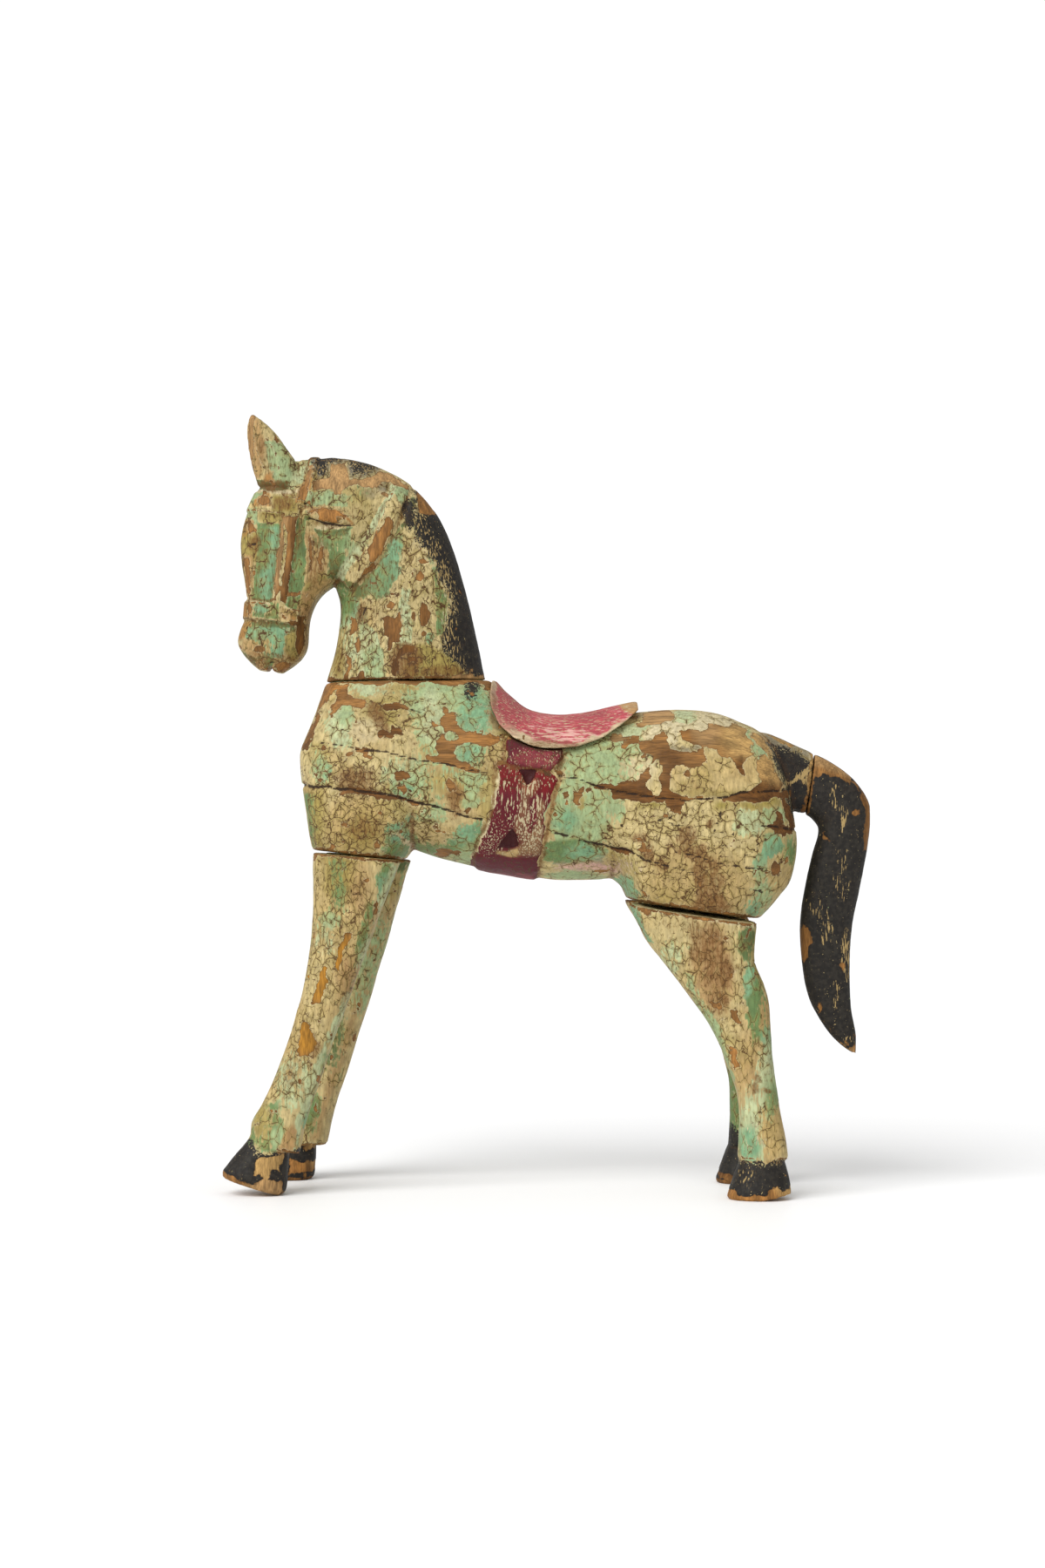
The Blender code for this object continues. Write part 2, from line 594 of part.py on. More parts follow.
def leg_middle(z):
    """Distance of a leg's middle from the middle of the horse at a height."""
    share = min(max((LEG_TOP_Z - z) / LEG_TOP_Z, 0.0), 1.0)
    return LEG_TOP_Y + (HOOF_Y - LEG_TOP_Y) * share


def leg(levels, side, top_setback=0.0, setback=0.0, fetlock_slope=0.0, slimmer=0.0):
    """A leg without its hoof: set back towards the floor, and slimmer in front of the gaskin."""
    ribs = []
    for z, front, rear, half in levels:
        back = setback + (top_setback - setback) * min(z / LEG_TOP_Z, 1.0) ** SETBACK_POWER
        lift = fetlock_slope * (rear - front) / 2 * min(max(1 - z / ANKLE_Z, 0.0), 1.0)
        gaskin = math.sin(math.pi * min(max((z - GASKIN_FOOT_Z) / GASKIN_HEIGHT, 0.0), 1.0))
        front_edge = (front + back + slimmer * gaskin, z + lift)
        rear_edge = (rear + back, z - lift)
        ribs.append(rib(front_edge, rear_edge, half, LEG_SQUARE, y=side * leg_middle(z)))
    return loft(ribs, LEG_SIDES)


def make_front_leg(side):
    if side == LEFT:
        shape = leg(FRONT_LEG_LEVELS + FRONT_LEFT_CUFF, side, fetlock_slope=FETLOCK_SLOPE)
        unite(shape, hoof(side, *FRONT_LEFT_HOOF))
    else:
        shape = leg(FRONT_LEG_LEVELS + FRONT_RIGHT_CUFF, side, FRONT_RIGHT_TOP_SETBACK, FRONT_RIGHT_SETBACK)
        unite(shape, hoof(side, *FRONT_RIGHT_HOOF))
    above_joint = lid(FRONT_LEG_JOINT, CHEST_CRACK, 2 * FIT_GAP, side=side)
    return cut(shape, above_joint, block_below(FLOOR, -FAR, FAR))


def make_rear_leg(side):
    if side == LEFT:
        shape = unite(leg(REAR_LEG_LEVELS, side), hoof(side, *REAR_LEFT_HOOF))
        opening = THIGH_CRACK_LEFT
    else:
        shape = unite(leg(REAR_LEG_LEVELS, side, slimmer=REAR_RIGHT_SLIMMER), hoof(side, *REAR_RIGHT_HOOF))
        opening = THIGH_CRACK_RIGHT
    above_joint = lid(REAR_LEG_JOINT, FIT_GAP, FIT_GAP, opening - FIT_GAP, side)
    return cut(shape, above_joint, block_below(FLOOR, -FAR, FAR), prism(HEEL_BEVEL))


def make_tail():
    return loft([rib(a, b, half, TAIL_SQUARE) for a, b, half in TAIL_RIBS], TAIL_SIDES)


finish(make_body(), "body", CREAM_PAINT)
finish(make_head(), "head_and_neck", MINT_PAINT)
finish(make_front_leg(LEFT), "front_leg_left", CREAM_PAINT)
finish(make_front_leg(RIGHT), "front_leg_right", CREAM_PAINT)
finish(make_rear_leg(LEFT), "rear_leg_left", CREAM_PAINT)
finish(make_rear_leg(RIGHT), "rear_leg_right", CREAM_PAINT)
finish(make_tail(), "tail", BLACK_PAINT)
finish(make_saddle(), "saddle", CRIMSON_PAINT)
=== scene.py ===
import itertools
import math

import bpy
import numpy as np
from mathutils import Matrix, Vector


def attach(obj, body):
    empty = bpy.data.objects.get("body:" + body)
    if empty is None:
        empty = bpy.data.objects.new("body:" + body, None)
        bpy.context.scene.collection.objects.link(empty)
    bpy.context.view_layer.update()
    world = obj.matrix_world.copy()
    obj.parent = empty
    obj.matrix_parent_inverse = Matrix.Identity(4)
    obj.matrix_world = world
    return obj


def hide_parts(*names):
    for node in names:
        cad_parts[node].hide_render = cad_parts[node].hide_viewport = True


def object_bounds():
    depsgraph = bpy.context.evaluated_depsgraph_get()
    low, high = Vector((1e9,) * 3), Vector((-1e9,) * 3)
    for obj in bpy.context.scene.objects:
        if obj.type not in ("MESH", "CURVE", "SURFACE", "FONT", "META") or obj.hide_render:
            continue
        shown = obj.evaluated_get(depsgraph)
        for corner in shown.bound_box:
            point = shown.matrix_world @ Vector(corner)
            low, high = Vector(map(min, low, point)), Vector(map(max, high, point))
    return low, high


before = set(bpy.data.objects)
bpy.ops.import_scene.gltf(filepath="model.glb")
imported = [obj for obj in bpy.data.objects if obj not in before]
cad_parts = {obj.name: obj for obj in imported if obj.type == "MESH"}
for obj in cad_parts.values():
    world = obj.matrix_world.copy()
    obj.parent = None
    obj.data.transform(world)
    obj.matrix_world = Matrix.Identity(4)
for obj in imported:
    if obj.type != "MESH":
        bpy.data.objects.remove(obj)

CAD_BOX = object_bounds()
MM = 1000.0

# The photograph's camera: 3 m away on the horse's near side, looking along +Y
CAMERA = (-0.0294, -3.0, 0.365)
CAMERA_PITCH = 0.844
CAMERA_ROLL = 0.5
LENS = 67.88
SENSOR = 36.0

# The CAD nodes, each of which gets a finer piece of its own
NODES = (
    "body", "head_and_neck", "front_leg_left", "front_leg_right", "rear_leg_left", "rear_leg_right", "saddle",
    "tail",
)


def for_nodes(usual, **others):
    """A value for each node: the usual one, or its own"""
    return {node: others.get(node, usual) for node in NODES}


# Mesh spacing, in metres
SPACING = for_nodes(0.0015, body=0.0022, head_and_neck=0.00142, saddle=0.0013, tail=0.0013)
SLOTS = for_nodes(
    "leg_paint", body="body_paint", head_and_neck="head_paint", saddle="saddle_paint", tail="tail_paint")
# Squeezes of the place along the wood's fibres and along the brush strokes
GRAIN_STRETCH = for_nodes((1.0, 1.0, 0.14), body=(0.12, 1.0, 1.0), saddle=(0.12, 1.0, 1.0))
STREAK_STRETCH = (1.0, 1.0, 0.3)
# How much of the paint is mint, as a shift of its noise
MINT_SHIFT = for_nodes(0.05, head_and_neck=0.25)
# How far the places' outlines wander, as a share, and the wander's own steps and sizes, in mm
WANDER = for_nodes(0.9, head_and_neck=0.45)
WANDER_LAYERS = ((2.8, 12.0), (1.1, 3.6))
WANDER_SEEDS = (51, 57)
# The share of it that a carved place's outline gets
CARVED_WANDER = 0.25
# How squarely a face is turned to the camera where the near side's places start and where they are whole
SEEN_SPAN = (-0.05, 0.25)
# How sharp an edge must be to lose its paint, in mm above its calmed surface
RIDGE_WEAR = for_nodes(0.30, head_and_neck=0.42)
# How much dirt and painted shade darken the hollows, per mm of depth
HOLLOW_DIRT_AND_SHADE = for_nodes(2.2, head_and_neck=1.1)
HOLLOW_SPAN = 8.0

CREASE_ANGLE = 34.0
ROUNDING_STEPS = 7
WELD_DIGITS = 7
PATCH_DIGITS = 6
SMOOTHING_ROUNDS = 3
SMOOTHING_SHARES = (0.5, -0.52)
CALMING_SHARES = (0.5, 0.5)

# Relief, in mm: the coat's thickness and the edge over which it ends, the fibres of the bare wood, and the
# dents and ripples of the carving, with their sizes
PAINT_THICKNESS = 0.45
PAINT_EDGE = 0.8
FIBRE_HEIGHT = 0.12
FIBRE_SIZE = 3.2
DENT_HEIGHT = 0.22
DENT_SIZE = 22.0
RIPPLE_HEIGHT = 0.10
RIPPLE_SIZE = 6.0

# The greatest distance in mm that a field keeps
REACH = 9.0

# Colours as they show in soft daylight, 0 to 255, and how much of that light a surface gives back here
COLOURS = {
    "cream": (213, 192, 136),
    "beige": (196, 166, 108),
    "pale": (221, 206, 165),
    "olive": (158, 140, 66),
    "mint": (166, 189, 138),
    "light_mint": (194, 205, 158),
    "turquoise": (124, 176, 134),
    "green": (98, 136, 82),
    "dark_green": (70, 98, 52),
    "wood": (158, 112, 60),
    "dark_wood": (110, 70, 28),
    "gold_wood": (200, 160, 98),
    "ochre": (188, 132, 46),
    "orange_wood": (178, 124, 64),
    "tan_wood": (192, 152, 100),
    "black": (36, 33, 30),
    "grey": (118, 112, 100),
    "pink": (200, 87, 95),
    "blush": (228, 176, 166),
    "rose": (172, 80, 84),
    "maroon": (98, 28, 40),
    "crimson": (120, 18, 24),
    "soft_black": (51, 47, 41),
    "crack": (84, 55, 26),
    "gap": (52, 34, 20),
    "notch": (66, 18, 22),
    "halo": (158, 138, 74),
    "grime": (84, 78, 34),
    "stain": (118, 76, 34),
}
ALBEDO = 0.74
# Colours of the thin coat, and of the ground coat below it
THIN_COATS = ("mint", "light_mint", "turquoise", "green", "dark_green", "blush")
GROUND_COATS = (
    "cream", "beige", "pale", "olive", "grey", "rose", "gold_wood", "tan_wood", "orange_wood", "crack", "gap",
)


def linear(name):
    """A named colour's share of the light, for a surface that shows as that colour in the studio's light"""
    share = np.array(COLOURS[name]) / 255.0
    return ALBEDO * np.where(share <= 0.04045, share / 12.92, ((share + 0.055) / 1.055) ** 2.4)


# Noise

LATTICE_FACTORS = (73856093, 19349663, 83492791)
SEED_FACTOR = 2654435761
MIXING = ((15, 2246822519), (13, 3266489917))
LAST_SHIFT = 16
WORD = 2 ** 32 - 1
FRACTION = 2 ** 24 - 1
SEED_OFFSET = 17.31


def lattice(cell, seed):
    """A fixed pseudo-random number from -1 to 1 for each lattice point"""
    mixed = np.full(len(cell), seed * SEED_FACTOR % (WORD + 1), dtype=np.uint64)
    for axis, factor in enumerate(LATTICE_FACTORS):
        mixed ^= cell[:, axis].astype(np.int64).astype(np.uint64) * np.uint64(factor)
    mixed &= np.uint64(WORD)
    for shift, factor in MIXING:
        mixed = (mixed ^ (mixed >> np.uint64(shift))) * np.uint64(factor) & np.uint64(WORD)
    mixed ^= mixed >> np.uint64(LAST_SHIFT)
    return (mixed & np.uint64(FRACTION)).astype(float) / (FRACTION // 2) - 1.0


def noise(points, size, seed, octaves=3):
    """Smooth noise, about -1 to 1, whose largest features measure size"""
    total = np.zeros(len(points))
    for octave in range(octaves):
        place = points * (2 ** octave / size) + seed * SEED_OFFSET
        cell = np.floor(place)
        part = place - cell
        ease = part * part * (3.0 - 2.0 * part)
        for corner in itertools.product((0, 1), repeat=3):
            share = np.prod(np.where(corner, ease, 1.0 - ease), axis=1)
            total += share * lattice(cell + corner, seed + octave) * 0.5 ** octave
    return total


def smooth_step(value, low, high):
    """0 below low, 1 above high, eased between"""
    share = np.clip((value - low) / (high - low), 0.0, 1.0)
    return share * share * (3.0 - 2.0 * share)


# Meshes

def read_values(items, name, width=1, kind=float):
    """One value of each item of a mesh, as an array of rows"""
    values = np.empty(len(items) * width, dtype=kind)
    items.foreach_get(name, values)
    return values.reshape(-1, width)


def read_points(mesh):
    return read_values(mesh.vertices, "co", 3)


def write_points(mesh, points):
    mesh.vertices.foreach_set("co", points.ravel())
    mesh.update()


def rounded_faces(node):
    """The node's triangles curved to their corner normals, as points and triangles"""
    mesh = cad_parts[node].data.copy()
    for spare in ("custom_normal", "sharp_edge", "sharp_face"):
        if spare in mesh.attributes:
            mesh.attributes.remove(mesh.attributes[spare])
    mesh.calc_loop_triangles()
    triangles = read_values(mesh.loop_triangles, "vertices", 3, int)
    places, same = np.unique(read_points(mesh).round(WELD_DIGITS), axis=0, return_inverse=True)
    triangles = same.ravel()[triangles]
    whole = bpy.data.meshes.new("whole")
    whole.from_pydata(places.tolist(), [], triangles.tolist())
    whole.shade_smooth()
    whole.set_sharp_from_angle(angle=math.radians(CREASE_ANGLE))
    normals = read_values(whole.corner_normals, "vector", 3).reshape(-1, 3, 3)
    bpy.data.meshes.remove(mesh)
    bpy.data.meshes.remove(whole)
    return curved_patches(places[triangles], normals)


def patch_grid():
    """The points of a patch as shares of its three corners, and the small triangles between them"""
    steps = range(ROUNDING_STEPS + 1)
    weights = [(i, j, ROUNDING_STEPS - i - j) for i in steps for j in range(ROUNDING_STEPS + 1 - i)]
    index = {weight: n for n, weight in enumerate(weights)}
    small = []
    for i, j, k in weights:
        if k > 0:
            small.append((index[i, j, k], index[i + 1, j, k - 1], index[i, j + 1, k - 1]))
        if k > 0 and j > 0:
            small.append((index[i, j, k], index[i + 1, j - 1, k], index[i + 1, j, k - 1]))
    return np.array(weights) / ROUNDING_STEPS, np.array(small)


def curved_patches(corner, normal):
    """Cubic patches over flat triangles, cut into small triangles that share their edge points"""
    share, small = patch_grid()

    def pull(a, b):
        """The control point a third of the way from corner a to corner b, in a's tangent plane"""
        lift = np.sum((corner[:, b] - corner[:, a]) * normal[:, a], axis=1, keepdims=True)
        return (2.0 * corner[:, a] + corner[:, b] - lift * normal[:, a]) / 3.0

    control = {(a, b): pull(a, b) for a, b in itertools.permutations(range(3), 2)}
    middle = sum(control.values()) / 6.0
    middle += (middle - corner.mean(axis=1)) / 2.0
    curved = np.zeros((len(corner), len(share), 3))
    for a in range(3):
        curved += corner[:, a, None] * share[None, :, a, None] ** 3
    for (a, b), point in control.items():
        curved += point[:, None] * (3.0 * share[:, a] ** 2 * share[:, b])[None, :, None]
    curved += middle[:, None] * (6.0 * share.prod(axis=1))[None, :, None]
    flat = np.einsum("pw,twx->tpx", share, corner).reshape(-1, 3)
    _, same = np.unique(flat.round(PATCH_DIGITS), axis=0, return_inverse=True)
    same = same.ravel()
    count = np.bincount(same)
    joined = np.stack([np.bincount(same, curved.reshape(-1, 3)[:, axis]) for axis in range(3)], axis=1)
    joined /= count[:, None]
    offset = (np.arange(len(corner)) * len(share))[:, None, None]
    triangles = same[(small[None] + offset).reshape(-1, 3)]
    proper = (triangles[:, 0] != triangles[:, 1]) & (triangles[:, 1] != triangles[:, 2])
    proper &= triangles[:, 0] != triangles[:, 2]
    return joined, triangles[proper]


def even_mesh(name, points, triangles, spacing):
    """One closed mesh of even small squares over those faces"""
    rough = bpy.data.meshes.new(name + "_rough")
    rough.from_pydata(points.tolist(), [], triangles.tolist())
    piece = bpy.data.objects.new(name, rough)
    bpy.context.scene.collection.objects.link(piece)
    modifier = piece.modifiers.new("even", "REMESH")
    modifier.mode = "VOXEL"
    modifier.voxel_size = spacing
    mesh = bpy.data.meshes.new_from_object(piece.evaluated_get(bpy.context.evaluated_depsgraph_get()))
    piece.modifiers.clear()
    piece.data = mesh
    mesh.name = name
    bpy.data.meshes.remove(rough)
    return piece


def smoothed(mesh, points, rounds, shares):
    """The points drawn towards their neighbours by each share in turn; a negative share draws them back"""
    edges = read_values(mesh.edges, "vertices", 2, int)
    ends = np.concatenate([edges, edges[:, ::-1]])
    count = np.bincount(ends[:, 0], minlength=len(points))[:, None]
    for share in shares * rounds:
        around = [np.bincount(ends[:, 0], points[ends[:, 1], axis], len(points)) for axis in range(3)]
        points = points + share * (np.stack(around, axis=1) / count - points)
    return points


def make_piece(node):
    """The node's form as a finer, rounder mesh"""
    points, triangles = rounded_faces(node)
    piece = even_mesh("carved_" + node, points, triangles, SPACING[node])
    mesh = piece.data
    write_points(mesh, smoothed(mesh, read_points(mesh), SMOOTHING_ROUNDS, SMOOTHING_SHARES))
    mesh.shade_smooth()
    return piece


# Paint, wear and joints, as places in mm: X to the right, then height, each group in a plane of its own.
# A row is a kind, its values and then its places. A place is an oval in a box (x0, x1, z0, z1) or an outline
# of points, and for "seam" and "hollow" it is a line of points.
# The name of a coat is paint in that colour, with a soft edge and a strength. "wood" and "dye" tint the bare
# wood and the dye, with a colour before those two.
# "bare" takes the paint off, "keep" leaves it on, and "black" and "dyed" are where black paint and dye lie.
# "stain", "scratch" and "crazed" are dirt, scratches and fine cracks, with a soft edge and a strength.
# "seam" is an open joint or crack and "hollow" a carved groove darkened with dirt and painted shade, with a
# half width and a depth.
# "pit" is a recess with a dark rim, with a soft edge and a depth.

BODY_FORM = [
    # crimson girth, its scratched middle, its maroon band and the pad
    ("keep", [(-58, 434), (-48, 434), (-48, 450), (12, 450), (13, 428), (9, 418), (4, 396), (-2, 370),
        (-8, 340), (-10, 300), (-96, 300), (-84, 338), (-66, 372), (-60, 402)]),
    ("dyed", [(-53, 428), (-46, 428), (-46, 452), (10, 448), (9, 432), (-2, 421), (5, 413), (3, 405),
        (0, 396), (-5, 385), (-7, 370), (-9, 352), (-13, 335), (-14, 316), (-16, 300), (-90, 300),
        (-78, 334), (-69, 350), (-61, 370), (-55, 390), (-52, 402)]),
    ("dye", "maroon", 6, 0.75, [(-60, 402), (-30, 404), (-2, 394), (-10, 330), (-90, 330), (-70, 362)]),
    ("dye", "beige", 2.5, 0.2, [(-33, 416), (-26, 411), (-18, 414), (-14, 408), (-17, 399), (-22, 396),
        (-24, 370), (-22, 356), (-30, 350), (-38, 364), (-33, 376), (-32, 395)]),
    ("dye", "beige", 2.5, 0.35, [(-14, 394), (-8, 388), (-9, 368), (-11, 345), (-14, 338), (-32, 338),
        (-36, 350), (-26, 352), (-17, 362), (-13, 374)]),
    ("dye", "beige", 1.5, 0.9, [(-56, 343), (-36, 346), (-33, 341), (-35, 335), (-43, 336), (-55, 340)]),
    ("pale", 1.0, 0.9, [(-54, 428), (-52, 428), (-51, 402), (-54, 390), (-60, 370), (-68, 350), (-76, 334),
        (-79, 334), (-71, 350), (-63, 370), (-57, 390), (-54, 402)]),
    ("tan_wood", 1.0, 0.7, [(5, 412), (8, 410), (3, 392), (-2, 370), (-6, 345), (-9, 345), (-6, 370),
        (-2, 392)]),
    ("dye", "maroon", 1.2, 1.0, [(-78, 338), (-55, 337), (-42, 335), (-30, 333), (-22, 337), (-12, 337),
        (-14, 300), (-90, 300)]),
    ("dye", "rose", 2.0, 0.6, [(-80, 323), (-55, 320), (-17, 317), (-17, 300), (-90, 300)]),
    ("dye", "maroon", 1.0, 1.0, [(-46, 452), (-46, 431), (-40, 427), (-30, 422), (-2, 421), (9, 432),
        (10, 448)]),
    ("dye", "pink", 6, 0.35, (-38, 6, 424, 442)),
    # painted shadow on the body under the saddle's rim, in the dark gap colour
    ("dye", "gap", 2.0, 0.8, [(-48, 456), (-44, 450), (-24, 443), (4, 438), (12, 440), (12, 460)]),
    ("gap", 2.0, 0.6, [(-63, 482), (-58, 474), (-44, 456), (-42, 449), (-50, 455), (-62, 470), (-67, 482)]),
    ("pit", 1.5, 2.2, [(-33, 423), (-15, 422), (-20, 411), (-25, 406)],
        [(-54, 344), (-34, 346), (-35, 356), (-39, 365), (-46, 356)]),
    ("scratch", 2, 0.22, [(-54, 427), (5, 420), (-4, 385), (-12, 340), (-78, 340), (-61, 372)]),
    ("scratch", 4, 1.1, (-36, -8, 340, 412)),
    ("scratch", 5, 0.5, (-74, -50, 338, 374)),
    ("scratch", 4, 0.2, (-44, 8, 424, 444)),
    # black dock with the ochre line in front of it
    ("black", [(211, 453), (215, 445), (219, 432), (224, 416), (228, 406), (232, 392), (236, 376),
        (246, 364), (290, 350), (290, 424), (262, 430), (244, 440), (228, 447)]),
    ("grey", 2, 0.8, [(206, 462), (232, 458), (264, 446), (264, 430), (240, 437), (210, 450)]),
    ("gold_wood", 1.0, 0.9, [(206, 457), (209, 457), (215, 445), (219, 432), (224, 416), (228, 406),
        (232, 392), (236, 376), (232, 376), (228, 392), (223, 408), (218, 424), (213, 438), (207, 447)]),
    ("bare", [(258, 442), (262, 444), (262, 384), (259.5, 384), (260, 404), (258, 424)]),
    ("scratch", 1.5, 3.0, [(228, 412), (240, 418), (246, 424), (254, 429), (257, 424), (247, 418),
        (241, 413), (229, 407)]),
    ("scratch", 2, 2.0, [(246, 422), (258, 428), (259, 416), (251, 411)]),
    ("wood", "gold_wood", 6, 0.9, (222, 266, 404, 446)),
    ("stain", 5, 0.6, (246, 260, 408, 426)),
]
BODY_COATS = [
    ("mint", 14, 0.75, (-140, -56, 425, 515)),
    ("turquoise", 7, 0.7, (-94, -60, 454, 500)),
    ("light_mint", 8, 0.8, (-225, -196, 440, 482)),
    ("mint", 4, 0.7, (-212, -196, 462, 484)),
    ("mint", 7, 0.6, (-150, -104, 478, 512)),
    ("light_mint", 5, 0.65, (-206, -150, 494, 514)),
    ("light_mint", 9, 0.5, (-176, -122, 400, 436)),
    ("turquoise", 5, 0.8, (-146, -122, 398, 414)),
    ("turquoise", 4, 0.7, (-230, -216, 412, 428)),
    ("mint", 6, 0.8, [(-104, 420), (-66, 418), (-62, 386), (-84, 384), (-108, 396)]),
    ("mint", 5, 0.7, (-132, -104, 366, 386)),
    ("mint", 6, 0.7, (-150, -118, 488, 505)),
    ("olive", 8, 0.8, (-186, -150, 462, 492)),
    ("olive", 6, 0.6, (-170, -130, 495, 507)),
    ("olive", 4, 0.7, (-200, -182, 484, 496)),
    ("pale", 6, 0.5, (-200, -165, 448, 470)),
    ("light_mint", 6, 0.7, (-130, -108, 448, 500)),
    ("turquoise", 4, 0.8, (-232, -220, 405, 425)),
    ("mint", 6, 0.6, (-240, -222, 405, 440)),
    ("mint", 12, 0.6, (-160, -60, 388, 428)),
    ("turquoise", 6, 0.9, (-158, -138, 390, 408)),
    ("turquoise", 5, 0.8, (-94, -66, 427, 447)),
    ("olive", 9, 0.6, (-125, -85, 395, 420)),
    ("beige", 12, 0.9, (-225, -160, 335, 398)),
    ("olive", 6, 0.8, [(-255, 400), (-226, 400), (-224, 330), (-255, 330)]),
    ("green", 4, 0.8, [(-248, 398), (-236, 398), (-232, 338), (-245, 338)]),
    ("olive", 10, 0.7, (-205, -170, 340, 375)),
    ("green", 7, 0.9, [(-165, 364), (-144, 366), (-132, 352), (-110, 348), (-80, 362), (-70, 375),
        (-66, 345), (-140, 318), (-168, 336)]),
    ("turquoise", 5, 0.9, (-162, -140, 348, 366)),
    ("turquoise", 5, 0.7, (-146, -134, 368, 380)),
    ("turquoise", 7, 0.7, (-100, -72, 348, 370)),
    ("mint", 8, 0.8, (-96, -62, 318, 345)),
    ("pale", 2, 0.8, [(-158, 361), (-154, 361), (-136, 345), (-140, 341)]),
    ("olive", 5, 0.6, (-72, -50, 360, 425)),
    # behind the girth
    ("mint", 9, 0.85, (4, 104, 408, 462)),
    ("mint", 9, 0.9, (-8, 64, 342, 416)),
    ("turquoise", 6, 0.7, (2, 24, 362, 384)),
    ("olive", 4, 0.6, (22, 36, 384, 402)),
    ("cream", 12, 0.9, (58, 110, 340, 392)),
    ("mint", 4, 0.7, (58, 72, 372, 394)),
    ("green", 4, 0.95, [(-10, 350), (20, 354), (40, 350), (54, 342), (50, 330), (10, 328), (-8, 332)]),
    ("turquoise", 6, 0.8, (18, 50, 332, 350)),
    ("blush", 3, 0.6, (0, 64, 320, 331)),
    ("mint", 4, 0.9, (-14, 56, 304, 322)),
    ("blush", 7, 0.4, (46, 100, 318, 340)),
    ("turquoise", 4, 0.95, [(58, 318), (72, 320), (92, 300), (84, 290), (64, 304)]),
    # haunch
    ("cream", 14, 0.95, (92, 212, 282, 398)),
    ("light_mint", 6, 0.8, (178, 216, 358, 390)),
    ("mint", 5, 0.8, (208, 232, 366, 396)),
    ("turquoise", 4, 0.9, [(206, 358), (222, 362), (228, 350), (222, 338), (212, 336), (212, 322),
        (202, 318), (200, 338), (208, 346)]),
    ("green", 6, 0.7, (226, 244, 318, 360)),
    ("mint", 7, 0.7, (196, 220, 284, 330)),
    ("beige", 6, 0.7, (214, 240, 300, 340)),
    ("turquoise", 5, 0.7, (188, 206, 276, 300)),
    ("beige", 12, 0.85, (88, 196, 270, 350)),
    ("olive", 6, 0.4, (100, 124, 288, 304)),
    # rump
    ("pale", 8, 0.6, (66, 102, 408, 440)),
    ("light_mint", 5, 0.9, (58, 92, 452, 468)),
    ("pale", 3, 1.0, [(104, 470), (112, 472), (150, 470), (160, 462), (124, 462), (126, 450), (116, 442),
        (110, 460), (92, 448), (88, 460)]),
    ("pale", 4, 0.9, (136, 186, 462, 482)),
    ("light_mint", 4, 0.9, (118, 142, 468, 484)),
    ("grey", 1.5, 0.7, [(116, 446), (136, 448), (150, 453), (150, 447), (136, 440), (116, 442)]),
    ("beige", 5, 0.5, (114, 194, 394, 442)),
    ("mint", 3, 0.9, [(190, 466), (196, 461), (203, 449), (214, 438), (216, 432), (196, 436), (194, 448)]),
    ("beige", 5, 0.7, (186, 206, 408, 440)),
    ("olive", 4, 0.9, (84, 112, 383, 393), (160, 176, 383, 393), (184, 206, 384, 394)),
    ("olive", 5, 0.9, (203, 228, 386, 400)),
    ("olive", 3, 0.5, (118, 190, 396, 404)),
    ("black", (-88, -72, 491, 509)),
]
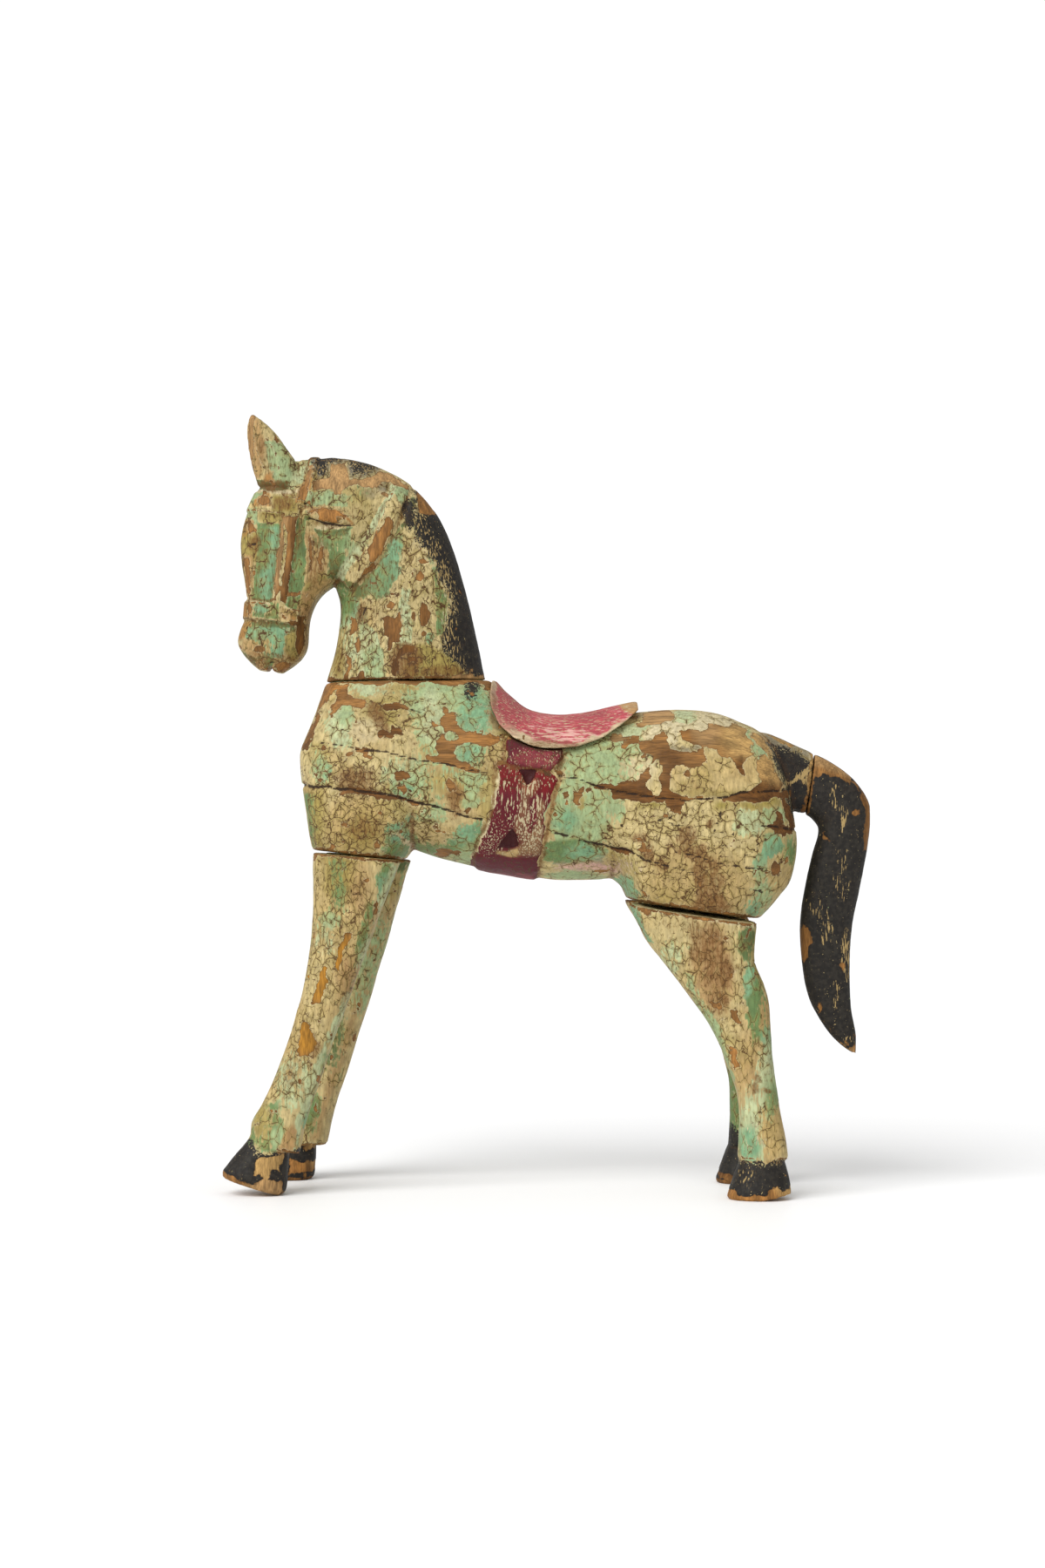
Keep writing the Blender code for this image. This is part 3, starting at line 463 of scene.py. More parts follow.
BODY_WEAR = [
    # the chest's worn front edge and the patches behind it
    ("bare", [(-226, 514), (-213, 510), (-232, 470), (-241, 440), (-255, 440), (-245, 475)],
        [(-256, 424), (-246, 423), (-244, 405), (-256, 403)],
        [(-232, 520), (-60, 520), (-60, 505), (-84, 506), (-96, 504), (-108, 507), (-122, 508), (-142, 505),
        (-158, 508), (-172, 505), (-184, 507), (-200, 508), (-232, 504)],
        [(-222, 505), (-203, 505), (-203, 496), (-193, 492), (-186, 489), (-184, 481), (-196, 480),
        (-207, 484), (-213, 479), (-218, 470), (-219, 490)],
        [(-171, 485), (-156, 487), (-142, 483), (-142, 479), (-156, 480), (-170, 481)],
        [(-160, 466), (-150, 464), (-148, 458), (-156, 457), (-160, 460)],
        [(-168, 463), (-160, 459), (-155, 454), (-160, 450), (-166, 455), (-172, 450), (-176, 458)]),
    ("keep", [(-218, 499), (-213, 499), (-215, 486), (-222, 470), (-226, 474)]),
    # the bare fork in front of the saddle
    ("bare", [(-110, 474), (-105, 479), (-99, 479), (-94, 475), (-94, 465), (-86, 460), (-78, 458),
        (-72, 455), (-60, 454), (-52, 450), (-54, 445), (-66, 445), (-78, 446), (-90, 447), (-96, 444),
        (-96, 438), (-96, 431), (-110, 430), (-114, 438), (-117, 442), (-115, 450), (-106, 460),
        (-109, 467)]),
    ("keep", (-107, -93, 449, 459)),
    ("bare",
        [(-128, 434), (-110, 435), (-98, 433), (-72, 423), (-73, 418), (-90, 422), (-110, 428),
        (-128, 430)], (-197, -181, 439, 445), (-156, -141, 410, 420), (-104, -96, 400, 413),
        [(-210, 399), (-196, 403), (-172, 399), (-155, 395), (-130, 389), (-128, 386), (-150, 390),
        (-175, 395), (-195, 396), (-207, 395)], (-117, -97, 333, 344), (-98, -88, 336, 342),
        (-70, -60, 500, 512), [(3, 424), (12, 420), (13, 414), (5, 417)], (-55, -46, 427, 432)),
    # the bare rump: below the flakes, above them, its gold end, and the worn ridge of the back
    ("bare",
        [(40, 407), (45, 409), (62, 409), (72, 415), (84, 413), (86, 419), (98, 430), (98, 437), (86, 442),
        (86, 451), (97, 452), (109, 461), (113, 457), (113, 450), (116, 443), (128, 443), (140, 441),
        (148, 445), (152, 440), (150, 430), (145, 426), (190, 402), (210, 414), (218, 402), (236, 404),
        (236, 396), (205, 394), (192, 393), (176, 391), (165, 395), (150, 394), (130, 391), (127, 380),
        (121, 380), (113, 386), (112, 391), (92, 390), (75, 394), (60, 393), (56, 402), (47, 404)],
        [(65, 446), (68, 442), (75, 448), (86, 450), (86, 458), (78, 457), (70, 453)], (57, 71, 450, 459),
        [(124, 462), (140, 462), (150, 463), (156, 466), (155, 470), (163, 469), (168, 466), (180, 470),
        (190, 464), (200, 449), (196, 446), (196, 438), (190, 436), (187, 430), (191, 418), (185, 417),
        (178, 431), (174, 436), (166, 436), (157, 446), (149, 447), (138, 450), (130, 453), (127, 458)],
        [(202, 437), (212, 437), (218, 430), (222, 420), (226, 410), (227, 402), (214, 404), (204, 414),
        (204, 421), (201, 427)],
        [(199, 462), (208, 458), (209, 453), (215, 440), (211, 439), (203, 449), (197, 458)],
        [(80, 470), (88, 472), (90, 480), (104, 486), (119, 486), (119, 471), (112, 471), (108, 466),
        (95, 467), (86, 464), (80, 466)],
        [(86, 492), (120, 494), (165, 488), (212, 468), (240, 452), (234, 446), (205, 463), (176, 476),
        (140, 483), (100, 484)]),
    ("keep",
        [(122, 426), (127, 427), (130, 431), (132, 426), (138, 425), (146, 427), (150, 431), (151, 446),
        (157, 442), (158, 438), (166, 435), (174, 436), (180, 431), (187, 420), (192, 412), (191, 406),
        (187, 402), (178, 400), (170, 396), (150, 396), (127, 396), (117, 402), (116, 407), (119, 420)],
        [(101, 433), (105, 432), (107, 427), (111, 427), (110, 421), (106, 418), (107, 410), (109, 404),
        (105, 398), (99, 398), (94, 403), (93, 409), (97, 415), (94, 420), (97, 427)],
        [(189, 432), (193, 437), (199, 437), (202, 431), (201, 426), (203, 421), (198, 414), (193, 411),
        (190, 414), (192, 420), (188, 425)]),
    ("bare", (131, 137, 416, 423)),
    # patches of the flank and haunch
    ("bare", [(58, 347), (70, 346), (78, 343), (76, 339), (66, 341), (57, 344)],
        [(207, 369), (214, 370), (221, 372), (220, 379), (224, 382), (228, 377), (229, 368), (240, 366),
        (240, 362), (230, 360), (221, 360), (217, 366)],
        [(227, 404), (233, 392), (240, 376), (246, 362), (237, 362), (231, 376), (229, 390)],
        [(217, 328), (220, 333), (224, 332), (226, 325), (224, 321), (219, 322)]),
    # shades of the bare wood
    ("wood", "orange_wood", 5, 0.8, (-222, -200, 492, 508), (-90, -50, 443, 460)),
    ("wood", "orange_wood", 4, 0.8, (-117, -95, 333, 344)),
    ("wood", "dark_wood", 8, 0.6, (-260, -226, 400, 480)),
    ("wood", "dark_wood", 6, 0.8, (-212, -142, 380, 402)),
    ("wood", "dark_wood", 5, 0.9, (-180, -146, 448, 490)),
    ("wood", "dark_wood", 5, 0.6, (-160, -138, 406, 424)),
    ("wood", "orange_wood", 2, 1.0, (120, 137, 448, 464)),
    ("wood", "orange_wood", 3, 0.9, (64, 88, 440, 459)),
    ("wood", "tan_wood", 2, 0.9, (54, 72, 448, 460)),
    ("wood", "gold_wood", 8, 1.0, (162, 236, 432, 480)),
    ("wood", "gold_wood", 6, 0.8, (198, 236, 404, 446)),
    ("wood", "tan_wood", 5, 0.8, (138, 164, 448, 474)),
    ("wood", "tan_wood", 5, 0.9, (74, 126, 464, 496)),
    ("wood", "dark_wood", 8, 0.9, (36, 124, 384, 416)),
    ("wood", "dark_wood", 5, 0.8, (112, 132, 376, 432)),
    ("wood", "dark_wood", 5, 0.6, (104, 126, 430, 444)),
    ("wood", "dark_wood", 3, 0.9, (180, 192, 416, 434), (54, 80, 338, 350)),
    ("wood", "dark_wood", 6, 0.9, (170, 224, 390, 414)),
    ("wood", "dark_wood", 5, 0.9, (204, 250, 356, 406)),
    ("wood", "dark_wood", 4, 0.5, (212, 230, 318, 336)),
    # dirt and crazing
    ("stain", 5, 1.0, [(-184, 488), (-168, 486), (-166, 470), (-160, 458), (-168, 452), (-176, 464),
        (-182, 474)]),
    ("stain", 8, 1.0, (-212, -176, 396, 424)),
    ("stain", 10, 0.6, (-206, -168, 348, 376)),
    ("stain", 5, 0.8, (-104, -88, 374, 410), (100, 114, 322, 336)),
    ("tan_wood", 5, 0.6, (-104, -88, 378, 412)),
    ("stain", 5, 0.9, (124, 142, 346, 370),
        [(122, 346), (150, 352), (155, 338), (170, 332), (166, 325), (146, 327), (136, 335), (120, 338)]),
    ("stain", 4, 0.9, [(139, 330), (152, 330), (154, 304), (152, 282), (140, 286), (142, 306)],
        (90, 100, 328, 352)),
    ("stain", 7, 0.9, (144, 176, 276, 303)),
    ("stain", 6, 0.7, (152, 172, 300, 329)),
    ("stain", 4, 0.7, (78, 94, 350, 361)),
    ("stain", 6, 0.4, (110, 124, 340, 360)),
    ("tan_wood", 8, 0.6, (142, 174, 278, 304)),
    ("stain", 2, 1.0, (154, 162, 366, 373)),
    ("crazed", 10, 1.0, [(-245, 440), (-120, 425), (-110, 345), (-245, 335)]),
    ("crazed", 10, 0.9, [(74, 392), (150, 392), (180, 340), (190, 282), (78, 292)]),
    ("crazed", 8, 0.6, [(150, 392), (216, 392), (210, 340), (190, 300), (176, 340)]),
    ("crazed", 12, 0.75, (-200, -110, 440, 500)),
    ("crazed", 10, 0.3, (0, 60, 356, 410)),
]
BODY_SEAMS = [
    ("seam", 1.1, 1.4,
        [(-229, 447), (-213, 445), (-199, 444), (-194, 441), (-165, 439), (-150, 435), (-130, 430),
        (-108, 428), (-72, 420), (-60, 418)], [(8, 416), (25, 414), (42, 408)]),
    ("seam", 1.4, 2.4, [(-252, 405), (-240, 404), (-200, 401), (-190, 399), (-165, 397), (-150, 393),
        (-130, 388), (-100, 380), (-85, 375), (-70, 372)]),
    ("seam", 0.8, 0.8, [(-142, 482), (-134, 479), (-126, 476)]),
    ("seam", 1.2, 2.0, [(42, 408), (60, 403), (80, 399), (100, 396), (120, 394), (131, 393), (155, 395),
        (172, 397), (186, 402), (205, 403), (228, 404)]),
    ("seam", 1.2, 1.6, [(3, 359), (16, 357)], [(206, 369), (222, 368), (240, 365)]),
    ("seam", 1.2, 2.0, [(27, 352), (42, 350), (62, 345), (78, 342), (90, 335), (97, 332)]),
    ("hollow", 2.0, 0.7, [(-56, 428), (-52, 402), (-58, 380), (-68, 353), (-80, 332)],
        [(7, 414), (1, 396), (-6, 370), (-11, 340), (-12, 318)]),
    ("hollow", 1.8, 0.8, [(-46, 428), (-30, 422), (-2, 421), (8, 430)]),
    ("hollow", 1.6, 0.6, [(-78, 338), (-56, 338), (-42, 336), (-30, 334), (-12, 337)]),
]
BODY_CRACKS = [
    ("seam", 0.9, 0.7, [(97, 332), (112, 329), (126, 326), (142, 321)]),
    ("seam", 0.9, 0.9, [(122, 341), (140, 339), (152, 335), (166, 331), (190, 328), (214, 325)]),
    ("seam", 0.8, 0.6, [(103, 373), (112, 372), (122, 369), (136, 367)]),
    ("seam", 0.7, 0.5, [(182, 307), (196, 306), (206, 304)],
        [(167, 362), (180, 360), (176, 352), (166, 348), (160, 349)],
        [(104, 378), (112, 373), (118, 378), (120, 384)],
        [(-218, 462), (-206, 460), (-196, 455), (-188, 446)]),
    ("seam", 0.6, 0.4, [(174, 376), (178, 371), (180, 360)],
        [(204, 352), (200, 346), (196, 340), (191, 340), (190, 330)]),
    ("seam", 0.6, 0.5, [(168, 345), (164, 338), (160, 335)]),
    ("seam", 0.5, 0.4, [(163, 392), (164, 378), (160, 362), (158, 352)],
        [(168, 392), (167, 378), (163, 364)]),
    ("seam", 0.6, 0.3, [(-60, 430), (-76, 428), (-88, 432)]),
    ("seam", 1.4, 1.0, [(206, 304), (208, 303)], [(68, 368), (69, 367)]),
]
NECK_FORM = [
    ("black",
        [(-141, 704), (-140, 690), (-132, 690), (-141, 675), (-139, 655), (-129, 644), (-121, 630),
        (-118, 616), (-109, 603), (-104, 590), (-107, 570), (-111, 545), (-107, 535), (-97, 530),
        (-88, 520), (-72, 512), (-50, 508), (-60, 580), (-90, 660), (-125, 720)], (-152, -138, 662, 696),
        [(-242, 728), (-237, 717), (-228, 717), (-226, 728), (-212, 731), (-212, 745), (-245, 745)],
        [(-206, 730), (-202, 717), (-188, 720), (-178, 724), (-174, 745), (-206, 745)]),
    ("grey", 2.0, 0.9, [(-250, 727), (-240, 722), (-236, 714), (-226, 717), (-225, 728), (-208, 729),
        (-205, 714), (-196, 713), (-176, 721), (-170, 745), (-250, 745)]),
    ("bare", [(-138, 702), (-124, 694), (-119, 678), (-128, 678), (-135, 680), (-138, 690)]),
    ("scratch", 4, 0.5, [(-142, 684), (-138, 650), (-120, 622), (-110, 590), (-112, 545), (-98, 528),
        (-90, 530), (-98, 560), (-97, 600), (-107, 632), (-122, 660), (-132, 684)]),
    ("scratch", 5, 0.5, (-246, -172, 712, 734)),
]
FACE_COATS = [
    # front of the face, from the brow down to the noseband
    ("mint", 2.5, 0.9, [(-308, 684), (-300, 682), (-296, 668), (-302, 668), (-312, 672)]),
    ("olive", 3, 0.8, (-297, -274, 667, 681)),
    ("orange_wood", 2, 0.9, [(-316, 672), (-302, 671), (-301, 662), (-305, 655), (-316, 652)]),
    ("olive", 3, 0.8, [(-316, 654), (-297, 662), (-294, 640), (-298, 628), (-316, 628)]),
    ("tan_wood", 2.5, 0.9, [(-316, 636), (-302, 636), (-301, 614), (-303, 594), (-314, 594)]),
    ("green", 2, 0.95, [(-299, 668), (-272, 667), (-276, 650), (-279, 625), (-282, 600), (-282, 589),
        (-304, 592), (-300, 610), (-297, 640)]),
    ("turquoise", 3, 0.7,
        [(-286, 664), (-274, 664), (-279, 630), (-283, 592), (-292, 592), (-291, 612), (-284, 640)],
        (-296, -284, 594, 622)),
    # painted highlight along the top edge of the noseband
    ("pale", 1.0, 0.9, [(-311, 593), (-283, 590), (-283, 587), (-311, 590)]),
    # the strip behind the cheek strap, and the cheek
    ("green", 1.5, 0.95, [(-257, 674), (-249, 672), (-248, 640), (-250, 612), (-254, 592), (-257, 581),
        (-269, 584), (-265, 605), (-262, 630), (-259, 655)]),
    ("dark_green", 3, 0.8, (-258, -250, 636, 674)),
    # painted highlight along the top edge of the noseband, behind the cheek strap
    ("pale", 0.8, 0.8, [(-269, 585), (-257, 582), (-257, 580), (-269, 583)]),
    ("tan_wood", 3, 0.6, [(-249, 662), (-238, 660), (-230, 648), (-230, 625), (-240, 606), (-250, 604),
        (-249, 630)]),
    ("olive", 3, 0.8, [(-247, 610), (-232, 622), (-226, 612), (-246, 590), (-256, 584), (-254, 598)]),
    ("cream", 3, 0.9, [(-240, 656), (-205, 657), (-190, 664), (-188, 650), (-205, 640), (-226, 640),
        (-238, 646)]),
    ("green", 3, 0.85, [(-226, 646), (-212, 642), (-205, 630), (-212, 606), (-224, 616), (-228, 630)]),
    ("dark_green", 5, 0.8, (-228, -210, 602, 636)),
    ("tan_wood", 2, 0.7, [(-238, 612), (-218, 612), (-240, 592), (-250, 560), (-254, 586)]),
    ("light_mint", 4, 0.6, (-240, -214, 644, 662)),
    ("beige", 3, 0.75, [(-247, 664), (-236, 658), (-226, 646), (-228, 622), (-244, 606), (-249, 630)]),
    ("mint", 3, 0.6, [(-212, 668), (-196, 664), (-190, 648), (-204, 630), (-212, 644)]),
    # noseband and muzzle
    ("turquoise", 6, 0.75, (-304, -262, 534, 568)),
    ("orange_wood", 1.2, 0.9, [(-316, 591), (-303, 590), (-302, 573), (-316, 573)]),
    ("turquoise", 2, 0.9, (-302, -284, 577, 590)),
    ("green", 1.5, 0.7, [(-302, 579), (-284, 577), (-284, 571), (-302, 573)]),
    ("green", 1.5, 0.8, [(-283, 590), (-274, 588), (-275, 571), (-283, 572)]),
    ("tan_wood", 1.5, 0.7, [(-273, 584), (-262, 582), (-262, 569), (-273, 571)]),
    ("orange_wood", 1.2, 0.9, [(-263, 582), (-257, 581), (-257, 566), (-263, 568)]),
    ("dark_green", 2, 0.8, [(-311, 570), (-258, 566), (-257, 558), (-305, 563)]),
    ("orange_wood", 2, 0.9, [(-318, 568), (-304, 570), (-303, 562), (-309, 554), (-318, 548)]),
    ("turquoise", 1.8, 1.0, [(-307, 563), (-262, 562), (-265, 553), (-268, 543), (-272, 532), (-280, 534),
        (-282, 545), (-288, 551), (-297, 551), (-310, 552)]),
    ("tan_wood", 2, 0.7, [(-312, 551), (-299, 551), (-293, 545), (-294, 536), (-300, 533), (-312, 541)]),
    ("beige", 2.5, 0.6, [(-297, 547), (-285, 553), (-279, 546), (-283, 536), (-293, 539)]),
    ("olive", 3, 0.8, [(-268, 558), (-254, 560), (-253, 535), (-262, 528), (-270, 540)]),
    ("dark_green", 2.5, 0.7, [(-312, 541), (-300, 534), (-290, 534), (-288, 526), (-298, 524), (-314, 534)]),
    ("tan_wood", 2, 0.7, (-297, -289, 518, 531)),
    ("green", 2, 0.8, (-289, -280, 518, 536)),
    ("tan_wood", 1.5, 0.9, [(-253, 600), (-244, 600), (-243, 545), (-256, 530), (-255, 545)]),
    # brow band, crown strap and poll
    # painted highlight along the brow band
    ("pale", 1.2, 0.9, [(-301, 704), (-280, 703), (-267, 701), (-254, 703), (-255, 699), (-268, 697),
        (-281, 699), (-301, 700)]),
    ("mint", 2, 0.9, [(-306, 700), (-293, 700), (-294, 690), (-307, 688)]),
    ("orange_wood", 1.5, 0.9, [(-303, 692), (-292, 698), (-286, 699), (-283, 686), (-303, 684)]),
    ("olive", 2, 0.9, [(-283, 697), (-262, 696), (-258, 680), (-282, 681)]),
    ("light_mint", 2, 1.0, [(-266, 724), (-250, 724), (-252, 711), (-262, 702), (-268, 703)]),
    ("orange_wood", 1.0, 0.9, [(-247, 727), (-251, 712), (-258, 700), (-261, 689), (-250, 689), (-247, 698),
        (-243, 710), (-241, 726)]),
    ("light_mint", 4, 0.5, (-264, -242, 720, 736)),
    ("mint", 3, 0.9, [(-250, 701), (-226, 702), (-205, 697), (-206, 684), (-232, 687), (-249, 685)]),
    ("olive", 5, 0.5, (-206, -184, 676, 698)),
    ("cream", 6, 0.7, (-206, -182, 652, 690)),
    ("grey", 3, 0.8, (-180, -163, 700, 711)),
    ("grey", 4, 0.5, (-192, -178, 694, 704)),
    # ear
    ("gold_wood", 2, 1.0, [(-312, 778), (-302, 780), (-301, 750), (-303, 722), (-310, 716)]),
    ("tan_wood", 2.5, 0.9, [(-303, 776), (-292, 770), (-291, 735), (-296, 712), (-304, 712)]),
    ("cream", 3, 0.8, [(-300, 776), (-284, 770), (-272, 746), (-290, 752)]),
    ("mint", 3, 0.9, [(-293, 752), (-272, 748), (-262, 730), (-265, 704), (-280, 706), (-286, 722)]),
    ("orange_wood", 2, 0.9, (-292, -281, 704, 719)),
    ("dark_green", 1.5, 0.9, [(-301, 711), (-268, 709), (-267, 701), (-301, 702)]),
    # eye
    ("dark_green", 1.5, 0.8, [(-249, 684), (-243, 677), (-245, 670), (-251, 674)]),
    ("orange_wood", 0.8, 0.95, [(-247, 684), (-232, 685), (-214, 681), (-206, 674), (-202, 667),
        (-222, 668), (-233, 670), (-243, 675)]),
    ("cream", 1.5, 0.9, (-243, -233, 671, 680)),
    ("cream", 1.0, 0.9, [(-216, 667), (-211, 674), (-204, 668)]),
    ("crack", 1.0, 0.7, (-220, -214, 667, 674)),
    # painted highlight under the eye, then painted shade in the hollow below it
    ("pale", 1.5, 0.8, (-240, -213, 660, 666)),
    ("green", 4, 0.6, (-246, -206, 640, 660)),
    ("dark_green", 1.8, 0.9, [(-243, 664), (-232, 661), (-218, 661), (-204, 665), (-209, 657), (-222, 654),
        (-236, 656)]),
]
THROAT_COATS = [
    # throat band, and painted shade in the groove behind it
    ("light_mint", 1.5, 1.0, [(-163, 708), (-157, 706), (-169, 682), (-187, 650), (-204, 620), (-213, 610),
        (-218, 616), (-200, 645), (-184, 670), (-170, 694)]),
    ("mint", 1.5, 1.0, [(-160, 705), (-147, 706), (-146, 694), (-152, 685), (-159, 693)]),
    ("cream", 2, 0.8, [(-168, 691), (-160, 694), (-154, 688), (-156, 675), (-162, 671), (-169, 675),
        (-171, 684)]),
    ("cream", 2, 0.9, [(-188, 643), (-182, 637), (-184, 629), (-191, 621), (-199, 611), (-209, 616),
        (-201, 629)]),
    # painted shade in the groove behind the throat band
    ("dark_green", 2.5, 0.9, [(-142, 700), (-146, 686), (-152, 672), (-161, 655), (-169, 640), (-180, 624),
        (-194, 607), (-210, 594), (-203, 588), (-186, 602), (-172, 620), (-163, 635), (-156, 650),
        (-146, 668), (-139, 690)]),
    # neck
    ("turquoise", 3, 0.95, [(-216, 600), (-205, 597), (-195, 590), (-190, 578), (-198, 571), (-214, 563)]),
    ("dark_green", 3, 0.9, [(-214, 604), (-200, 598), (-190, 592), (-184, 600), (-196, 607), (-210, 612)]),
    ("green", 4, 0.7, [(-216, 604), (-204, 600), (-198, 588), (-204, 572), (-216, 568)]),
    ("turquoise", 2, 1.0, [(-165, 641), (-157, 637), (-156, 625), (-160, 612), (-168, 605), (-178, 611),
        (-179, 622), (-172, 633)]),
    ("turquoise", 5, 0.85, (-186, -164, 594, 620)),
    ("turquoise", 5, 0.7, (-170, -152, 606, 646)),
    ("green", 9, 0.45, (-192, -160, 584, 632)),
    ("mint", 4, 0.5, (-136, -118, 590, 640)),
    ("turquoise", 4, 0.8, (-162, -150, 640, 656)),
    ("mint", 3, 0.8, (-143, -130, 634, 646)),
    ("cream", 5, 0.9, [(-152, 665), (-140, 660), (-124, 630), (-114, 600), (-118, 560), (-150, 556),
        (-168, 585), (-156, 610), (-150, 640)]),
    ("light_mint", 4, 0.7, [(-152, 605), (-142, 600), (-140, 548), (-156, 545), (-157, 575)]),
    ("light_mint", 3, 0.9, [(-192, 570), (-176, 560), (-170, 532), (-166, 512), (-193, 512), (-196, 545)]),
    ("mint", 3, 0.8, [(-192, 538), (-174, 548), (-168, 512), (-186, 512)]),
    ("light_mint", 6, 0.6, (-215, -194, 512, 572)),
    ("mint", 4, 0.6, (-198, -184, 562, 588)),
    ("turquoise", 2, 0.9, (-127, -119, 547, 561)),
    ("green", 3, 0.9, [(-121, 625), (-113, 610), (-106, 590), (-109, 560), (-119, 556), (-118, 590)]),
    ("olive", 4, 0.85, [(-148, 546), (-124, 548), (-100, 536), (-84, 516), (-150, 511)]),
    ("olive", 5, 0.7, (-222, -208, 508, 548)),
    ("stain", 4, 1.0, (-198, -186, 567, 588)),
    ("seam", 0.8, 1.0, [(-192, 572), (-190, 580), (-186, 588)]),
]
HEAD_WEAR = [
    # face
    ("bare",
        [(-273, 675), (-258, 675), (-259, 655), (-263, 625), (-267, 600), (-268, 587), (-272, 590),
        (-275, 602), (-278, 590), (-281, 592), (-280, 612), (-277, 640), (-275, 658)],
        (-246, -242, 622, 652), (-236, -232, 624, 646),
        [(-310, 633), (-305, 633), (-304, 598), (-309, 598)], (-308, -302, 657, 671),
        (-300, -290, 538, 546), [(-256, 575), (-250, 575), (-249, 545), (-254, 532), (-258, 545)],
        (-279, -262, 518, 528), (-307, -302, 575, 588),
        [(-245, 683), (-232, 684), (-215, 680), (-208, 674), (-214, 668), (-228, 669), (-234, 672),
        (-244, 678)]),
    ("keep", [(-270, 668), (-267, 660), (-269, 630), (-273, 605), (-275, 606), (-272, 635)],
        [(-243, 680), (-238, 682), (-235, 675), (-239, 672), (-244, 676)],
        [(-218, 674), (-213, 675), (-210, 669), (-217, 668)]),
    ("bare", [(-256, 702), (-250, 712), (-246, 724), (-243, 724), (-246, 708), (-250, 692), (-258, 692)],
        (-299, -285, 686, 696), [(-308, 776), (-303, 777), (-302, 750), (-304, 722), (-307, 735)]),
    # the worn crest and the throat band
    ("bare",
        [(-243, 710), (-226, 714), (-224, 728), (-210, 729), (-208, 718), (-205, 713), (-195, 712),
        (-182, 717), (-176, 721), (-165, 719), (-150, 709), (-144, 702), (-160, 707), (-164, 711),
        (-172, 711), (-180, 705), (-190, 704), (-197, 707), (-206, 706), (-212, 703), (-213, 696),
        (-220, 698), (-223, 703), (-231, 704), (-243, 702)],
        [(-167, 677), (-161, 673), (-163, 660), (-168, 650), (-173, 638), (-180, 629), (-185, 632),
        (-188, 643), (-182, 650), (-176, 660), (-171, 670)],
        [(-193, 617), (-188, 625), (-181, 631), (-179, 626), (-186, 617), (-192, 612)]),
    # neck
    ("bare",
        [(-171, 573), (-166, 576), (-160, 573), (-154, 581), (-152, 574), (-153, 560), (-155, 550),
        (-160, 549), (-162, 541), (-166, 542), (-164, 552), (-168, 556), (-170, 565)],
        [(-134, 582), (-131, 590), (-126, 587), (-123, 580), (-125, 572), (-129, 566), (-133, 566),
        (-135, 574)], (-167, -159, 582, 590), (-139, -131, 611, 621), (-137, -126, 629, 634),
        [(-203, 575), (-197, 575), (-196, 565), (-200, 557), (-206, 555), (-203, 564)],
        (-199, -193, 539, 553),
        [(-211, 541), (-204, 535), (-202, 525), (-205, 511), (-210, 511), (-206, 524), (-207, 533)],
        (-194, -188, 509, 521),
        [(-161, 530), (-157, 536), (-154, 544), (-148, 548), (-139, 546), (-138, 540), (-150, 538),
        (-155, 532), (-154, 522), (-158, 514), (-161, 520)],
        [(-147, 534), (-138, 535), (-137, 530), (-145, 529)], (-132, -126, 556, 562),
        [(-232, 515), (-222, 515), (-212, 511), (-202, 514), (-194, 516), (-186, 512), (-170, 514),
        (-158, 511), (-146, 516), (-130, 513), (-118, 517), (-104, 515), (-92, 520), (-76, 517), (-56, 522),
        (-56, 500), (-232, 500)]),
    ("wood", "dark_wood", 4, 0.7, (-240, -100, 504, 520)),
    ("wood", "orange_wood", 6, 0.6, (-192, -160, 628, 678)),
    ("wood", "tan_wood", 6, 0.9, (-245, -140, 694, 740)),
    ("wood", "tan_wood", 6, 0.8, (-316, -296, 700, 790)),
    ("wood", "orange_wood", 3, 0.9, (-248, -202, 664, 688)),
    ("wood", "dark_wood", 2, 0.8,
        [(-262, 672), (-256, 672), (-262, 620), (-268, 588), (-273, 588), (-266, 625)]),
    ("wood", "tan_wood", 2, 0.8,
        [(-273, 674), (-266, 674), (-272, 620), (-281, 592), (-284, 592), (-279, 630)]),
    ("wood", "dark_wood", 3, 0.7, (-260, -247, 530, 578)),
    ("wood", "dark_wood", 4, 0.9, (-163, -134, 512, 550)),
    ("wood", "dark_wood", 6, 0.6, (-174, -150, 540, 582)),
    ("wood", "dark_wood", 4, 0.6, (-136, -122, 564, 592)),
    ("wood", "tan_wood", 3, 0.7, [(-110, 524), (-60, 526), (-60, 512), (-110, 510)]),
    # dirt and cracks
    ("stain", 5, 1.0, (-164, -132, 512, 550)),
    ("stain", 4, 1.0, (-306, -294, 640, 656)),
    ("stain", 4, 0.3, (-316, -300, 560, 592)),
    ("stain", 8, 0.3, (-304, -270, 590, 668)),
    ("stain", 12, 0.3, (-212, -152, 560, 650)),
    ("stain", 3, 0.8, (-300, -266, 700, 712)),
    ("stain", 4, 0.4, (-294, -278, 716, 738)),
    ("stain", 4, 0.7, (-284, -262, 680, 696)),
    ("stain", 4, 0.55, [(-250, 664), (-238, 656), (-226, 648), (-228, 620), (-246, 598)]),
    ("stain", 6, 0.3, (-228, -208, 606, 636)),
    ("stain", 4, 0.6, (-312, -282, 520, 540)),
    ("stain", 5, 0.6, (-284, -256, 520, 540)),
    ("stain", 6, 0.4, (-194, -174, 592, 618)),
    ("stain", 4, 0.5, (-158, -142, 668, 696)),
    ("stain", 5, 0.7, (-140, -76, 508, 528)),
    ("stain", 5, 0.4, (-222, -206, 508, 550)),
    ("crazed", 8, 0.9, [(-214, 570), (-190, 595), (-165, 600), (-150, 660), (-120, 640), (-105, 560),
        (-100, 512), (-214, 512)]),
    ("crazed", 8, 0.8, (-210, -176, 640, 690)),
    ("crazed", 6, 0.2, (-300, -264, 700, 760)),
]
